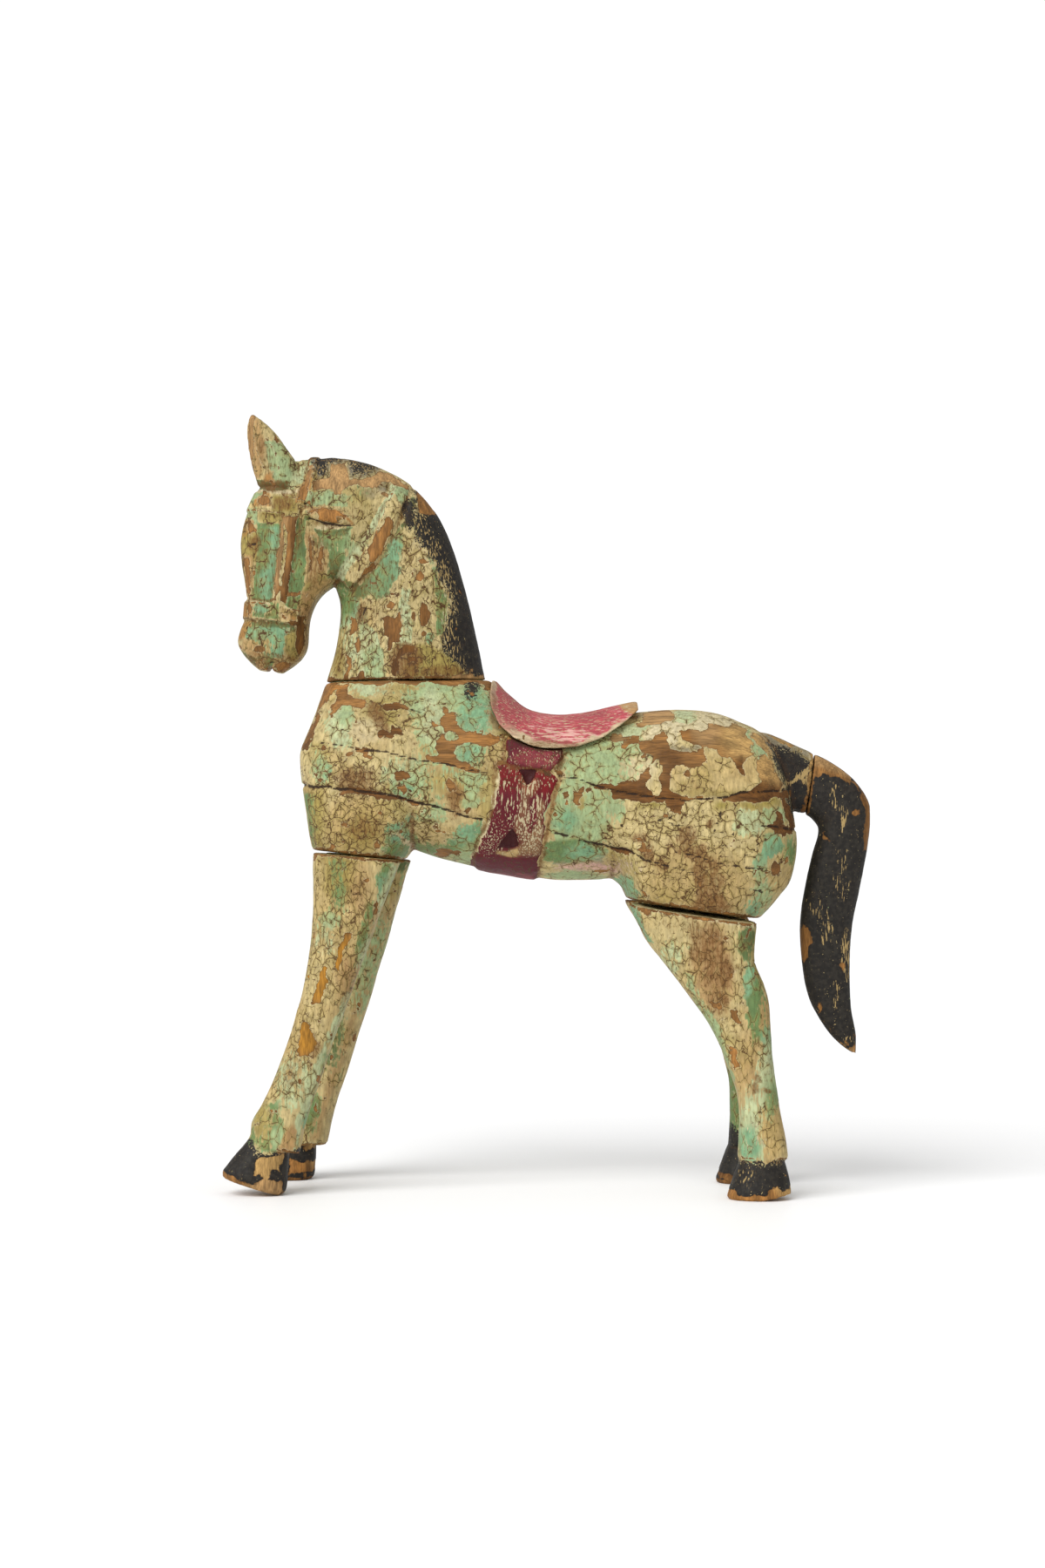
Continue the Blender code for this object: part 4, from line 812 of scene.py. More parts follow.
HEAD_CARVING = [
    ("hollow", 6.0, 2.6, [(-143, 702), (-149, 686), (-156, 670), (-163, 655), (-171, 640), (-181, 625),
        (-194, 609), (-208, 598)]),
    ("hollow", 2.4, 1.4, [(-166, 706), (-174, 690), (-190, 660), (-206, 632), (-216, 616)]),
    ("hollow", 2.0, 1.4, [(-274, 672), (-277, 652), (-280, 625), (-284, 594)]),
    ("hollow", 2.2, 1.8, [(-256, 674), (-258, 655), (-261, 630), (-265, 605), (-269, 586)]),
    ("hollow", 1.8, 1.1, [(-312, 593), (-300, 592), (-284, 590), (-270, 587), (-256, 582)]),
    ("hollow", 2.2, 1.8, [(-310, 571), (-300, 570), (-285, 569), (-270, 567), (-256, 565)]),
    ("hollow", 2.2, 1.7, [(-303, 684), (-290, 682), (-280, 680), (-271, 677)]),
    ("hollow", 2.4, 1.6, [(-300, 703), (-284, 706), (-267, 703)]),
    ("hollow", 4.0, 1.4, [(-241, 662), (-232, 659), (-220, 658), (-207, 663)]),
    ("hollow", 2.0, 0.8, [(-264, 690), (-260, 702), (-252, 712), (-248, 727)]),
    ("hollow", 2.2, 0.9, [(-228, 628), (-222, 616), (-216, 608)]),
    ("hollow", 2.0, 0.9, [(-288, 536), (-281, 529), (-277, 521)]),
    ("seam", 1.0, 1.6, [(-246, 673), (-240, 671), (-232, 668), (-215, 666), (-200, 667)]),
    ("seam", 0.8, 1.0, [(-283, 528), (-279, 528)]),
    ("seam", 1.3, 2.5, [(-250, 688), (-249, 688)]),
    ("seam", 1.2, 1.0, [(-303, 647), (-300, 647)]),
    ("seam", 0.3, 0.4, [(-244, 709), (-238, 713), (-228, 715)]),
]
FRONT_LEFT_COATS = [
    ("beige", 14, 0.6, (-242, -180, 190, 345)),
    ("olive", 8, 0.8, (-228, -196, 290, 340)),
    ("tan_wood", 8, 0.5, (-200, -176, 270, 340)),
    ("green", 5, 0.55, [(-222, 334), (-206, 334), (-202, 280), (-220, 284)]),
    ("mint", 5, 0.7, (-234, -206, 262, 280)),
    ("light_mint", 7, 0.7, (-236, -214, 226, 262)),
    ("green", 5, 0.9, (-172, -154, 292, 330)),
    ("turquoise", 4, 0.7, (-172, -158, 286, 316)),
    ("green", 4, 0.85, [(-182, 288), (-174, 288), (-186, 226), (-202, 190), (-210, 190), (-196, 232)]),
    ("light_mint", 3, 0.9, [(-160, 326), (-153, 326), (-173, 262), (-198, 196), (-216, 150), (-224, 150),
        (-204, 200), (-180, 260)]),
    ("cream", 10, 0.6, (-246, -214, 196, 246)),
    ("tan_wood", 8, 0.7, (-214, -188, 190, 240)),
    ("tan_wood", 7, 0.7, (-180, -160, 226, 280)),
]
FRONT_LEFT_WEAR = [
    ("bare",
        [(-206, 257), (-198, 260), (-201, 250), (-205, 240), (-207, 232), (-211, 222), (-215, 225),
        (-213, 235), (-210, 246)],
        [(-227, 224), (-222, 223), (-222, 206), (-226, 198), (-230, 189), (-238, 189), (-234, 201),
        (-230, 212)], (-240, -235, 328, 337)),
    ("wood", "ochre", 6, 1.0, (-246, -194, 184, 264)),
    ("wood", "dark_wood", 3, 0.8, (-180, -150, 326, 338)),
    ("stain", 9, 0.4, (-204, -180, 284, 320)),
    ("stain", 7, 0.35, (-212, -190, 190, 236)),
    ("stain", 6, 0.4, (-180, -164, 236, 262)),
    ("seam", 0.2, 0.5, [(-233, 322), (-232, 304), (-232, 286), (-226, 283), (-219, 280), (-216, 273),
        (-211, 268)]),
    ("seam", 0.4, 0.8, [(-206, 306), (-200, 303), (-197, 297), (-190, 297), (-187, 291), (-184, 284)]),
    ("seam", 0.2, 0.6, [(-199, 303), (-201, 291), (-202, 281), (-207, 277), (-213, 280)]),
    ("seam", 0.1, 0.4, [(-219, 278), (-219, 262), (-220, 246)]),
    ("crazed", 8, 0.9, (-250, -175, 180, 345)),
]
FRONT_FOOT_COATS = [
    ("beige", 14, 0.6, (-285, -230, 90, 196)),
    ("green", 5, 0.75, [(-298, 84), (-268, 92), (-262, 60), (-272, 40), (-300, 48)]),
    ("olive", 6, 0.7, (-296, -276, 52, 96)),
    ("mint", 5, 0.8, (-278, -262, 44, 66)),
    ("light_mint", 8, 0.6, (-272, -232, 78, 142)),
    ("light_mint", 3, 0.95, [(-226, 150), (-220, 152), (-234, 104), (-244, 70), (-252, 44), (-259, 42),
        (-252, 66), (-242, 100)]),
    ("green", 4, 0.95, [(-222, 140), (-216, 140), (-226, 104), (-232, 58), (-242, 58), (-240, 70),
        (-232, 100)]),
    ("turquoise", 3, 0.7, (-243, -232, 56, 84)),
    ("tan_wood", 2, 0.95, [(-262, 64), (-253, 68), (-253, 46), (-262, 36), (-274, 38), (-266, 46)]),
    ("stain", 4, 1.0, (-228, -212, 104, 124)),
]
FRONT_FOOT_WEAR = [
    ("bare", [(-245, 170), (-237, 168), (-231, 156), (-232, 146), (-237, 138), (-247, 134), (-250, 140),
        (-249, 154)]),
    ("wood", "ochre", 6, 1.0, (-256, -230, 136, 176)),
    ("wood", "dark_wood", 5, 0.6, (-262, -246, 104, 136)),
    ("stain", 6, 0.9, (-242, -228, 134, 160)),
    ("stain", 5, 0.5, (-264, -250, 104, 134)),
    ("crazed", 8, 0.9, [(-255, 190), (-215, 190), (-245, 90), (-285, 90)]),
]
FRONT_HOOF = [
    ("black", [(-345, -20), (-345, 34), (-302, 53), (-296, 55), (-289, 46), (-283, 41), (-277, 40),
        (-272, 44), (-270, 40), (-263, 40), (-254, 42), (-246, 48), (-240, 50), (-236, -20)]),
    ("bare",
        [(-290, 33), (-284, 38), (-278, 37), (-262, 39), (-266, 30), (-264, 25), (-274, 23), (-276, 15),
        (-264, 14), (-262, -8), (-300, -8), (-300, 8), (-290, 9), (-283, 16), (-286, 19), (-292, 18)],
        [(-328, 26), (-318, 20), (-306, 12), (-292, 8), (-292, -4), (-340, 0)]),
    ("wood", "gold_wood", 5, 1.0, (-296, -260, 14, 44)),
    ("wood", "tan_wood", 4, 0.9, (-300, -258, -10, 16)),
    ("stain", 4, 0.6, (-290, -262, 2, 16)),
]
FRONT_RIGHT_COATS = [
    ("tan_wood", 5, 0.7, [(-206, 156), (-186, 210), (-170, 270), (-158, 300), (-160, 280), (-196, 160),
        (-228, 56), (-238, 56)]),
    ("green", 5, 0.8, (-244, -228, 60, 104)),
    ("dark_green", 6, 0.6, (-228, -205, 118, 200)),
    ("mint", 10, 0.6, (-206, -160, 170, 330)),
    # painted shade at the top of the far leg
    ("dark_green", 6, 0.7, (-162, -138, 318, 345)),
]
FRONT_RIGHT_HOOF = [
    ("black", [(-330, -20), (-330, 38), (-275, 42), (-259, 44), (-247, 38), (-238, 34), (-205, 33),
        (-205, -20)]),
    ("bare", [(-262, 26), (-250, 22), (-240, 20), (-238, 10), (-264, 10)], (-252, -241, 30, 38)),
    ("wood", "gold_wood", 5, 0.8, (-248, -222, 14, 52)),
    ("wood", "orange_wood", 5, 0.8, (-266, -246, 8, 28)),
]
REAR_LEFT_COATS = [
    ("cream", 18, 0.7, (74, 210, 180, 295)),
    ("pale", 1.5, 0.9, [(74, 294), (206, 272), (206, 268), (140, 277), (74, 289)]),
    ("turquoise", 3, 0.8, [(76, 292), (86, 290), (92, 268), (100, 254), (94, 254), (84, 270)]),
    ("light_mint", 8, 0.6, (104, 134, 214, 256)),
    ("green", 4, 0.95, (187, 206, 236, 270)),
    ("dark_green", 5, 0.6, (190, 204, 238, 268)),
    ("olive", 4, 0.8, (200, 212, 200, 270)),
    ("turquoise", 3, 1.0, (190, 206, 192, 232)),
    ("green", 4, 1.0, (196, 216, 146, 214)),
    ("mint", 3, 1.0, [(132, 220), (142, 218), (170, 168), (186, 108), (172, 108), (148, 176)]),
    ("tan_wood", 9, 0.85, (140, 180, 184, 274)),
    ("turquoise", 4, 1.0, (209, 226, 104, 170)),
    ("tan_wood", 4, 0.6, (206, 218, 166, 200)),
]
REAR_LEFT_WEAR = [
    ("bare", [(85, 286), (90, 287), (98, 283), (97, 280), (88, 281)],
        [(178, 152), (182, 150), (190, 128), (186, 125), (181, 136)],
        [(178, 188), (188, 186), (190, 174), (183, 173)]),
    ("wood", "orange_wood", 5, 0.7, (174, 194, 120, 190)),
    ("stain", 6, 0.75, (136, 151, 226, 278)),
    ("stain", 9, 0.75, (146, 172, 206, 276)),
    ("stain", 6, 0.9, (164, 182, 204, 242)),
    ("stain", 7, 0.7, (158, 180, 180, 208)),
    ("tan_wood", 6, 0.7, (162, 184, 196, 226)),
    ("crazed", 8, 0.7, [(90, 285), (190, 270), (200, 130), (170, 150), (120, 215)]),
    ("seam", 0.3, 0.7, [(189, 226), (197, 229), (204, 233)]),
    ("seam", 0.1, 0.4, [(122, 222), (136, 214), (146, 205), (152, 198)]),
]
REAR_FOOT_COATS = [
    ("light_mint", 9, 0.8, (186, 222, 34, 116)),
    ("light_mint", 8, 0.7, (194, 232, 84, 150)),
    ("green", 4, 0.6, (226, 234, 60, 130)),
    ("turquoise", 5, 0.85, (188, 208, 36, 70)),
    ("beige", 6, 0.8, (208, 236, 36, 104)),
    ("green", 5, 0.6, (214, 228, 76, 118)),
    ("tan_wood", 9, 0.5, (184, 212, 92, 176)),
    ("stain", 3, 1.0, (200, 210, 102, 113)),
    ("stain", 2, 1.0, (213, 219, 102, 108)),
    ("stain", 4, 0.6, (200, 212, 112, 126)),
    ("stain", 5, 0.2, (210, 222, 38, 80)),
    ("scratch", 5, 0.2, (192, 214, 40, 76)),
]
REAR_HOOF = [
    ("black", [(160, -20), (160, 36), (190, 36), (204, 35), (216, 37), (232, 42), (260, 38), (260, -20)]),
    ("bare", [(170, 10), (180, 11), (184, 8), (187, 1), (198, 3), (212, 2), (218, 7), (226, 11), (231, 7),
        (236, 10), (240, 15), (248, 15), (256, -6), (170, -8)]),
    ("wood", "gold_wood", 4, 0.8, (222, 250, -2, 24)),
    ("wood", "orange_wood", 4, 0.8, (170, 226, -10, 14)),
    ("scratch", 5, 0.1, (186, 204, 10, 34)),
]
REAR_RIGHT_HOOF = [
    ("black", [(150, -20), (150, 62), (176, 65), (190, 64), (210, 42), (260, 40), (260, -20)]),
    ("green", 6, 0.85, (176, 204, 52, 128)),
    ("keep", (156, 232, 8, 66)),
    ("bare", [(176, 13), (186, 14), (196, 6), (176, 6)], (172, 178, 36, 44)),
    ("wood", "dark_wood", 6, 0.7, (166, 200, 4, 50)),
]
TAIL_WEAR = [
    ("bare",
        [(244, 448), (244, 440), (254, 428), (262, 424), (268, 418), (274, 424), (282, 420), (292, 418),
        (302, 412), (302, 430), (260, 452)],
        [(236, 410), (246, 412), (256, 418), (262, 412), (262, 424), (250, 430), (236, 422)],
        [(304, 416), (312, 404), (317, 380), (315, 345), (330, 340), (330, 404)],
        [(254, 268), (260, 266), (264, 252), (260, 246), (261, 236), (254, 233), (246, 250)],
        [(296, 151), (302, 147), (310, 148), (310, 136), (300, 138)], (270, 276, 182, 193),
        (303, 311, 380, 388)),
    ("wood", "orange_wood", 3, 0.9, (264, 280, 176, 198)),
    ("wood", "tan_wood", 3, 0.8, [(258, 452), (304, 424), (304, 416), (262, 434)]),
    ("wood", "dark_wood", 6, 0.5, (300, 330, 330, 420)),
    ("wood", "tan_wood", 4, 0.8, (290, 306, 134, 152)),
    ("wood", "dark_wood", 5, 0.4, (246, 268, 230, 270)),
    ("scratch", 2, 0.8, (283, 289, 390, 413), (287, 293, 184, 212), (298, 306, 150, 160)),
    ("scratch", 3, 0.9, (289, 297, 364, 388)),
    ("scratch", 3, 0.5, (290, 298, 324, 346)),
    ("scratch", 5, 0.35, (284, 300, 298, 320)),
    ("scratch", 4, 0.3, (262, 276, 278, 294)),
    ("scratch", 3, 0.8, (274, 284, 252, 280)),
    ("scratch", 2, 1.3, (294, 303, 216, 266)),
]
SADDLE_FORM = [
    ("pale", 1.2, 0.85, [(-66, 512), (-55, 512), (-57, 498), (-55, 485), (-49, 474), (-41, 466), (-27, 457),
        (-8, 449), (20, 448), (46, 457), (62, 467), (84, 481), (90, 476), (60, 455), (30, 438), (-10, 438),
        (-40, 448), (-62, 472), (-70, 495)]),
    ("tan_wood", 2.0, 0.95, [(68, 492), (66, 486), (74, 479), (90, 478), (92, 494)]),
    ("tan_wood", 2.0, 0.8, [(-60, 512), (-52, 500), (-34, 488), (-24, 482), (-4, 478), (20, 480), (60, 488),
        (60, 496), (-4, 486), (-40, 500)]),
    ("rose", 8, 0.85, (-62, -26, 458, 506)),
    ("rose", 6, 0.6, (16, 62, 464, 484)),
    ("rose", 2, 0.7, [(-30, 462), (0, 452), (30, 452), (54, 463), (40, 456), (10, 447), (-20, 451)]),
    ("blush", 6, 0.3, (-30, 60, 446, 464)),
    ("scratch", 10, 0.2, (-70, 90, 440, 512)),
    ("stain", 5, 0.6, (-70, 70, 436, 452)),
    ("stain", 3, 0.5, (-70, -56, 452, 508)),
]
GROUPS = (
    ("body", -85, False, BODY_COATS),
    ("body", -85, True, BODY_FORM),
    ("body", -85, False, BODY_WEAR),
    ("body", -85, True, BODY_SEAMS),
    ("body", -85, False, BODY_CRACKS),
    ("head_and_neck", -38, True, NECK_FORM),
    ("head_and_neck", -38, False, FACE_COATS + THROAT_COATS + HEAD_WEAR),
    ("head_and_neck", -38, True, HEAD_CARVING),
    ("front_leg_left", -55, False, FRONT_LEFT_COATS + FRONT_LEFT_WEAR),
    ("front_leg_left", -68, False, FRONT_FOOT_COATS + FRONT_FOOT_WEAR),
    ("front_leg_left", -68, True, FRONT_HOOF),
    ("front_leg_right", -68, False, FRONT_RIGHT_COATS),
    ("front_leg_right", -68, True, FRONT_RIGHT_HOOF),
    ("rear_leg_left", -60, False, REAR_LEFT_COATS + REAR_LEFT_WEAR),
    ("rear_leg_left", -68, False, REAR_FOOT_COATS),
    ("rear_leg_left", -68, True, REAR_HOOF),
    ("rear_leg_right", -68, True, REAR_RIGHT_HOOF),
    ("tail", -15, False, TAIL_WEAR),
    ("saddle", -85, True, SADDLE_FORM),
)


# Where the named places lie

def seen_plane(points, plane, both_sides):
    """Where the points show in a group's plane, seen from the camera, as X and height"""
    depth = -np.abs(points[:, 1]) if both_sides else points[:, 1]
    middle, _, height = (MM * value for value in CAMERA)
    distance = -MM * CAMERA[1]
    scale = (distance + plane) / (distance + depth)
    return middle + (points[:, 0] - middle) * scale, height + (points[:, 2] - height) * scale


def line_distance(across, up, line):
    """The distance to a line of points"""
    nearest = np.full(len(across), np.inf)
    for (x0, z0), (x1, z1) in zip(line, line[1:]):
        along = ((across - x0) * (x1 - x0) + (up - z0) * (z1 - z0)) / ((x1 - x0) ** 2 + (z1 - z0) ** 2)
        along = np.clip(along, 0.0, 1.0)
        nearest = np.minimum(nearest, np.hypot(across - x0 - along * (x1 - x0), up - z0 - along * (z1 - z0)))
    return nearest


def depth_inside(across, up, shape):
    """How far each point is inside an oval or an outline; less than 0 outside"""
    if isinstance(shape, tuple):
        x0, x1, z0, z1 = shape
        wide, high = (x1 - x0) / 2.0, (z1 - z0) / 2.0
        radius = np.hypot((across - x0 - wide) / wide, (up - z0 - high) / high)
        return (1.0 - radius) * min(wide, high)
    closed = shape + shape[:1]
    inside = np.zeros(len(across), dtype=bool)
    for (x0, z0), (x1, z1) in zip(closed, closed[1:]):
        if z0 != z1:
            crosses = (z0 > up) != (z1 > up)
            inside ^= crosses & (across < x0 + (x1 - x0) * (up - z0) / (z1 - z0))
    distance = line_distance(across, up, closed)
    return np.where(inside, distance, -distance)


class Sight:
    """A piece's points as they show in one plane: X, height and how much each is a place's to change"""

    def __init__(self, across, up, share):
        self.across = across
        self.up = up
        self.share = share

    def near(self, shape, margin):
        """The rows of the points within a margin of a place, with their X, height and share"""
        if isinstance(shape, tuple):
            x0, x1, z0, z1 = shape
        else:
            (x0, z0), (x1, z1) = np.min(shape, axis=0), np.max(shape, axis=0)
        level = (self.across > x0 - margin) & (self.across < x1 + margin)
        rows = np.flatnonzero(level & (self.up > z0 - margin) & (self.up < z1 + margin))
        return rows, self.across[rows], self.up[rows], self.share[rows]

    def inside(self, shape, soft, strength):
        """The rows of the points in and around a place, and how strongly it changes each"""
        rows, across, up, share = self.near(shape, soft)
        return rows, strength * smooth_step(depth_inside(across, up, shape), -soft, soft) * share


# What each kind of place does to the fields

# A seam's bevel in mm, a groove's dirt and painted shade and its share of the width, and a coat's colour
# ahead of its cover
SEAM_BEVEL = 1.5
GROOVE_DIRT_AND_SHADE = 0.2
GROOVE_DIRT_AND_SHADE_WIDTH = 0.6
COAT_LEAD = 1.5


def lean(field, rows, target, weight):
    """Moves the rows of a field towards a target by a weight"""
    if field.ndim == 2:
        weight = weight[:, None]
    field[rows] += (target - field[rows]) * weight


def open_seam(fields, sight, kind, line, half, depth):
    rows, across, up, _ = sight.near(line, REACH + half)
    distance = line_distance(across, up, line)
    fields["seam"][rows] = np.maximum(fields["seam"][rows], half - distance)
    fields["carve"][rows] += depth * (1.0 - smooth_step(distance, half * 0.5, half + SEAM_BEVEL))


def carve_hollow(fields, sight, kind, line, half, depth):
    rows, across, up, _ = sight.near(line, REACH + half)
    distance = line_distance(across, up, line)
    fields["carve"][rows] += depth * (1.0 - smooth_step(distance, 0.0, half))
    # Dirt and painted shade along the middle of the groove
    fields["stain"][rows] += GROOVE_DIRT_AND_SHADE * (1.0 - smooth_step(distance, 0.0, half * GROOVE_DIRT_AND_SHADE_WIDTH))


def sink_pit(fields, sight, kind, shape, soft, depth):
    rows, across, up, _ = sight.near(shape, soft)
    inside = depth_inside(across, up, shape)
    fields["carve"][rows] += depth * smooth_step(inside, -soft, soft)
    fields["seam"][rows] = np.maximum(fields["seam"][rows], inside)


def paint(fields, sight, colour, shape, soft, strength):
    rows, weight = sight.inside(shape, soft, strength)
    if colour in THIN_COATS:
        lean(fields["coat"], rows, linear(colour), np.minimum(1.0, weight * COAT_LEAD))
        lean(fields["cover"], rows, 1.0, weight)
    else:
        lean(fields["ground"], rows, linear(colour), weight)
        lean(fields["cover"], rows, 0.0, weight)


def tint(fields, sight, kind, shape, colour, soft, strength):
    rows, weight = sight.inside(shape, soft, strength)
    lean(fields[kind], rows, linear(colour), weight)


def mark(fields, sight, kind, shape, soft, strength):
    rows, weight = sight.inside(shape, soft, strength)
    fields[kind][rows] = np.maximum(fields[kind][rows], weight)


def bound(fields, sight, kind, shape):
    field = fields["bare" if kind == "keep" else kind]
    rows, across, up, share = sight.near(shape, REACH)
    inside = np.clip(depth_inside(across, up, shape), -REACH, REACH)
    changed = np.minimum(field[rows], -inside) if kind == "keep" else np.maximum(field[rows], inside)
    lean(field, rows, changed, share)


# Each kind's function and how many values stand before its places
KINDS = {
    **dict.fromkeys(THIN_COATS + GROUND_COATS, (paint, 2)),
    "wood": (tint, 3),
    "dye": (tint, 3),
    "stain": (mark, 2),
    "scratch": (mark, 2),
    "crazed": (mark, 2),
    "bare": (bound, 0),
    "keep": (bound, 0),
    "black": (bound, 0),
    "dyed": (bound, 0),
    "seam": (open_seam, 2),
    "hollow": (carve_hollow, 2),
    "pit": (sink_pit, 2),
}
CARVED_KINDS = ("seam", "hollow", "pit")


# Fields of paint and wear on a piece's points, which are in mm

# Noises that say where the thin coat lies and where the paint is crazed: size in mm and seed
BROAD_LAYER = (62.0, 3)
PATCH_LAYER = (24.0, 7)
STREAK_LAYER = (13.0, 11)
CRAZED_LAYER = (33.0, 47)
# Mottles: size in mm, seed, greatest share, and the noise levels where it starts and is full
MOTTLES = {
    "beige": (30.0, 19, 0.6, 0.0, 0.7),
    "olive": (38.0, 23, 0.5, 0.25, 0.8),
    "green": (34.0, 27, 0.7, 0.0, 0.8),
    "stain": (26.0, 37, 0.3, 0.15, 0.9),
}
# Bare patches: size in mm, seed, the noise level above which the wood shows, and how steeply, in mm
CHIPS = {
    "worn": (17.0, 29, 0.72, 9.0),
    "small": (11.0, 31, 0.88, 7.0),
    "tail": (16.0, 41, 0.85, 8.0),
    "saddle": (22.0, 43, 0.95, 8.0),
}
# The same for the broad noise's patches, then the wear of the ridges and the most dirt and painted shade in a
# hollow
WORN_LEVEL = 0.60
WORN_STEEPNESS = 30.0
RIDGE_STEEPNESS = 8.0
RIDGE_LIMIT = 0.6
GREATEST_HOLLOW_DARKENING = 0.9
# The saddle: how far a face turns down where its pink ends, the painted shade there and the worn coat's cover
UNDERSIDE = (0.1, 0.4)
UNDERSIDE_PAINTED_SHADE = 0.7
BLUSH_COVER = 0.3


def mottle(name, points):
    size, seed, share, start, full = MOTTLES[name]
    return share * smooth_step(noise(points, size, seed), start, full)


def chipped(name, points):
    size, seed, level, steepness = CHIPS[name]
    return (noise(points, size, seed) - level) * steepness


def blend(first, second, share):
    """From the first colour to the second, by each point's share"""
    return first + (second - first) * share[:, None]


def first_colours(points):
    """Mottled ground colour, the thin coat over it, the wood below and the girth's dye"""
    ground = blend(linear("cream"), linear("beige"), mottle("beige", points))
    everywhere = np.ones((len(points), 1))
    return {
        "ground": blend(ground, linear("olive"), mottle("olive", points)),
        "coat": blend(linear("mint"), linear("green"), mottle("green", points)),
        "wood": linear("wood") * everywhere,
        "dye": linear("crimson") * everywhere,
    }


def first_coats(node, points, normals, seen, hollow):
    """The fields before any named place: mottled paint, bare in patches on the hidden sides and in small
    chips on the near side"""
    fields = first_colours(points)
    broad = noise(points, *BROAD_LAYER)
    patches = noise(points, *PATCH_LAYER)
    streaks = noise(points * STREAK_STRETCH, *STREAK_LAYER)
    hidden = smooth_step(broad + 0.5 * streaks + MINT_SHIFT[node], -0.3, 0.4)
    shown = 0.5 * smooth_step(0.5 * patches + 0.7 * streaks + MINT_SHIFT[node] - 0.35, 0.0, 0.6)
    fields["cover"] = hidden * (1.0 - seen) + shown * seen
    worn = (broad + 0.4 * patches - WORN_LEVEL) * WORN_STEEPNESS
    worn = np.maximum(worn, chipped("worn", points))
    ridges = np.clip((-hollow - RIDGE_WEAR[node]) * RIDGE_STEEPNESS, -REACH, RIDGE_LIMIT)
    fields["bare"] = np.maximum(worn * (1.0 - seen) + chipped("small", points) * seen, ridges)
    # Stains, with dirt and painted shade added in the hollows by their depth
    fields["stain"] = mottle("stain", points) + np.clip(hollow * HOLLOW_DIRT_AND_SHADE[node], 0.0, GREATEST_HOLLOW_DARKENING)
    fields["crazed"] = 0.40 + 0.45 * noise(points, *CRAZED_LAYER)
    for name in ("scratch", "carve"):
        fields[name] = np.zeros(len(points))
    for name in ("seam", "black", "dyed"):
        fields[name] = np.full(len(points), -REACH)
    if node == "tail":
        fields["black"] += 2.0 * REACH
        fields["bare"] = np.maximum(chipped("tail", points), ridges)
    if node == "saddle":
        under = smooth_step(-normals[:, 2], *UNDERSIDE)
        # Beige on the faces that turn down, darkened there as painted shade
        fields["ground"] = blend(linear("pink"), linear("beige") * UNDERSIDE_PAINTED_SHADE, under)
        fields["coat"][:] = linear("blush")
        fields["cover"] = BLUSH_COVER * (1.0 - under)
        fields["crazed"] *= 0.0
        fields["bare"] = chipped("saddle", points)
    return fields


def wander(points, seed):
    """How far an outline strays at each point, in mm"""
    (far, wide), (little, narrow) = WANDER_LAYERS
    return far * noise(points, wide, seed, 2) + little * noise(points, narrow, seed + 1, 2)


def worn_fields(node, points, normals, hollow):
    """All the fields of a piece, after the named places"""
    sight_line = points - MM * np.array(CAMERA)
    sight_line /= np.linalg.norm(sight_line, axis=1, keepdims=True)
    seen = smooth_step(-np.sum(normals * sight_line, axis=1), *SEEN_SPAN)
    fields = first_coats(node, points, normals, seen, hollow)
    shift = WANDER[node] * np.array([wander(points, seed) for seed in WANDER_SEEDS])
    for name, plane, both_sides, rows in GROUPS:
        if name != node:
            continue
        across, up = seen_plane(points, plane, both_sides)
        share = np.ones(len(points)) if both_sides else seen
        painted = Sight(across + shift[0], up + shift[1], share)
        carved = Sight(across + CARVED_WANDER * shift[0], up + CARVED_WANDER * shift[1], share)
        for kind, *rest in rows:
            change, value_count = KINDS[kind]
            for shape in rest[value_count:]:
                change(fields, carved if kind in CARVED_KINDS else painted, kind, shape, *rest[:value_count])
    return fields


def write_field(mesh, name, values):
    if values.ndim == 2:
        attribute = mesh.attributes.new(name, "FLOAT_COLOR", "POINT")
        attribute.data.foreach_set("color", np.column_stack([values, np.ones(len(values))]).ravel())
    else:
        attribute = mesh.attributes.new(name, "FLOAT", "POINT")
        attribute.data.foreach_set("value", values)


def weather(piece, node):
    """Cuts the seams, lifts the paint off the bare wood and writes the fields for the materials"""
    mesh = piece.data
    points = read_points(mesh) * MM
    normals = read_values(mesh.vertex_normals, "vector", 3)
    calm = smoothed(mesh, points, round(HOLLOW_SPAN / (MM * SPACING[node])), CALMING_SHARES)
    hollow = np.sum((calm - points) * normals, axis=1)
    fields = worn_fields(node, points, normals, hollow)
    painted = smooth_step(-fields["bare"], -PAINT_EDGE, PAINT_EDGE)
    fibres = noise(points * GRAIN_STRETCH[node], FIBRE_SIZE, 61, 2) * (1.0 - painted)
    height = PAINT_THICKNESS * (painted - 1.0) + FIBRE_HEIGHT * fibres - fields.pop("carve")
    height += DENT_HEIGHT * noise(points, DENT_SIZE, 67)
    height += RIPPLE_HEIGHT * noise(points, RIPPLE_SIZE, 71) * painted
    lowest, highest = (MM * np.array(corner) for corner in CAD_BOX)
    write_points(mesh, np.clip(points + normals * height[:, None], lowest, highest) / MM)
    for name, values in fields.items():
        write_field(mesh, name, values)


# Materials

# Noises of the paint and the wood: size in mm and how many finer layers
FINE = (1.5, 2.0)
MIDDLE = (4.5, 3.0)
BROAD = (17.0, 2.0)
STROKES = (2.6, 3.0)
LINES = (1.4, 3.0)
FIBRES = (1.2, 4.0)
RINGS = (7.0, 2.0)
BEND = (8.0, 3.0)
# How far the last of them bends the two nets of cracks, and the nets' sizes, in mm
BEND_FAR = 6.5
WIDE_NET = 12.0
NARROW_NET = 5.4
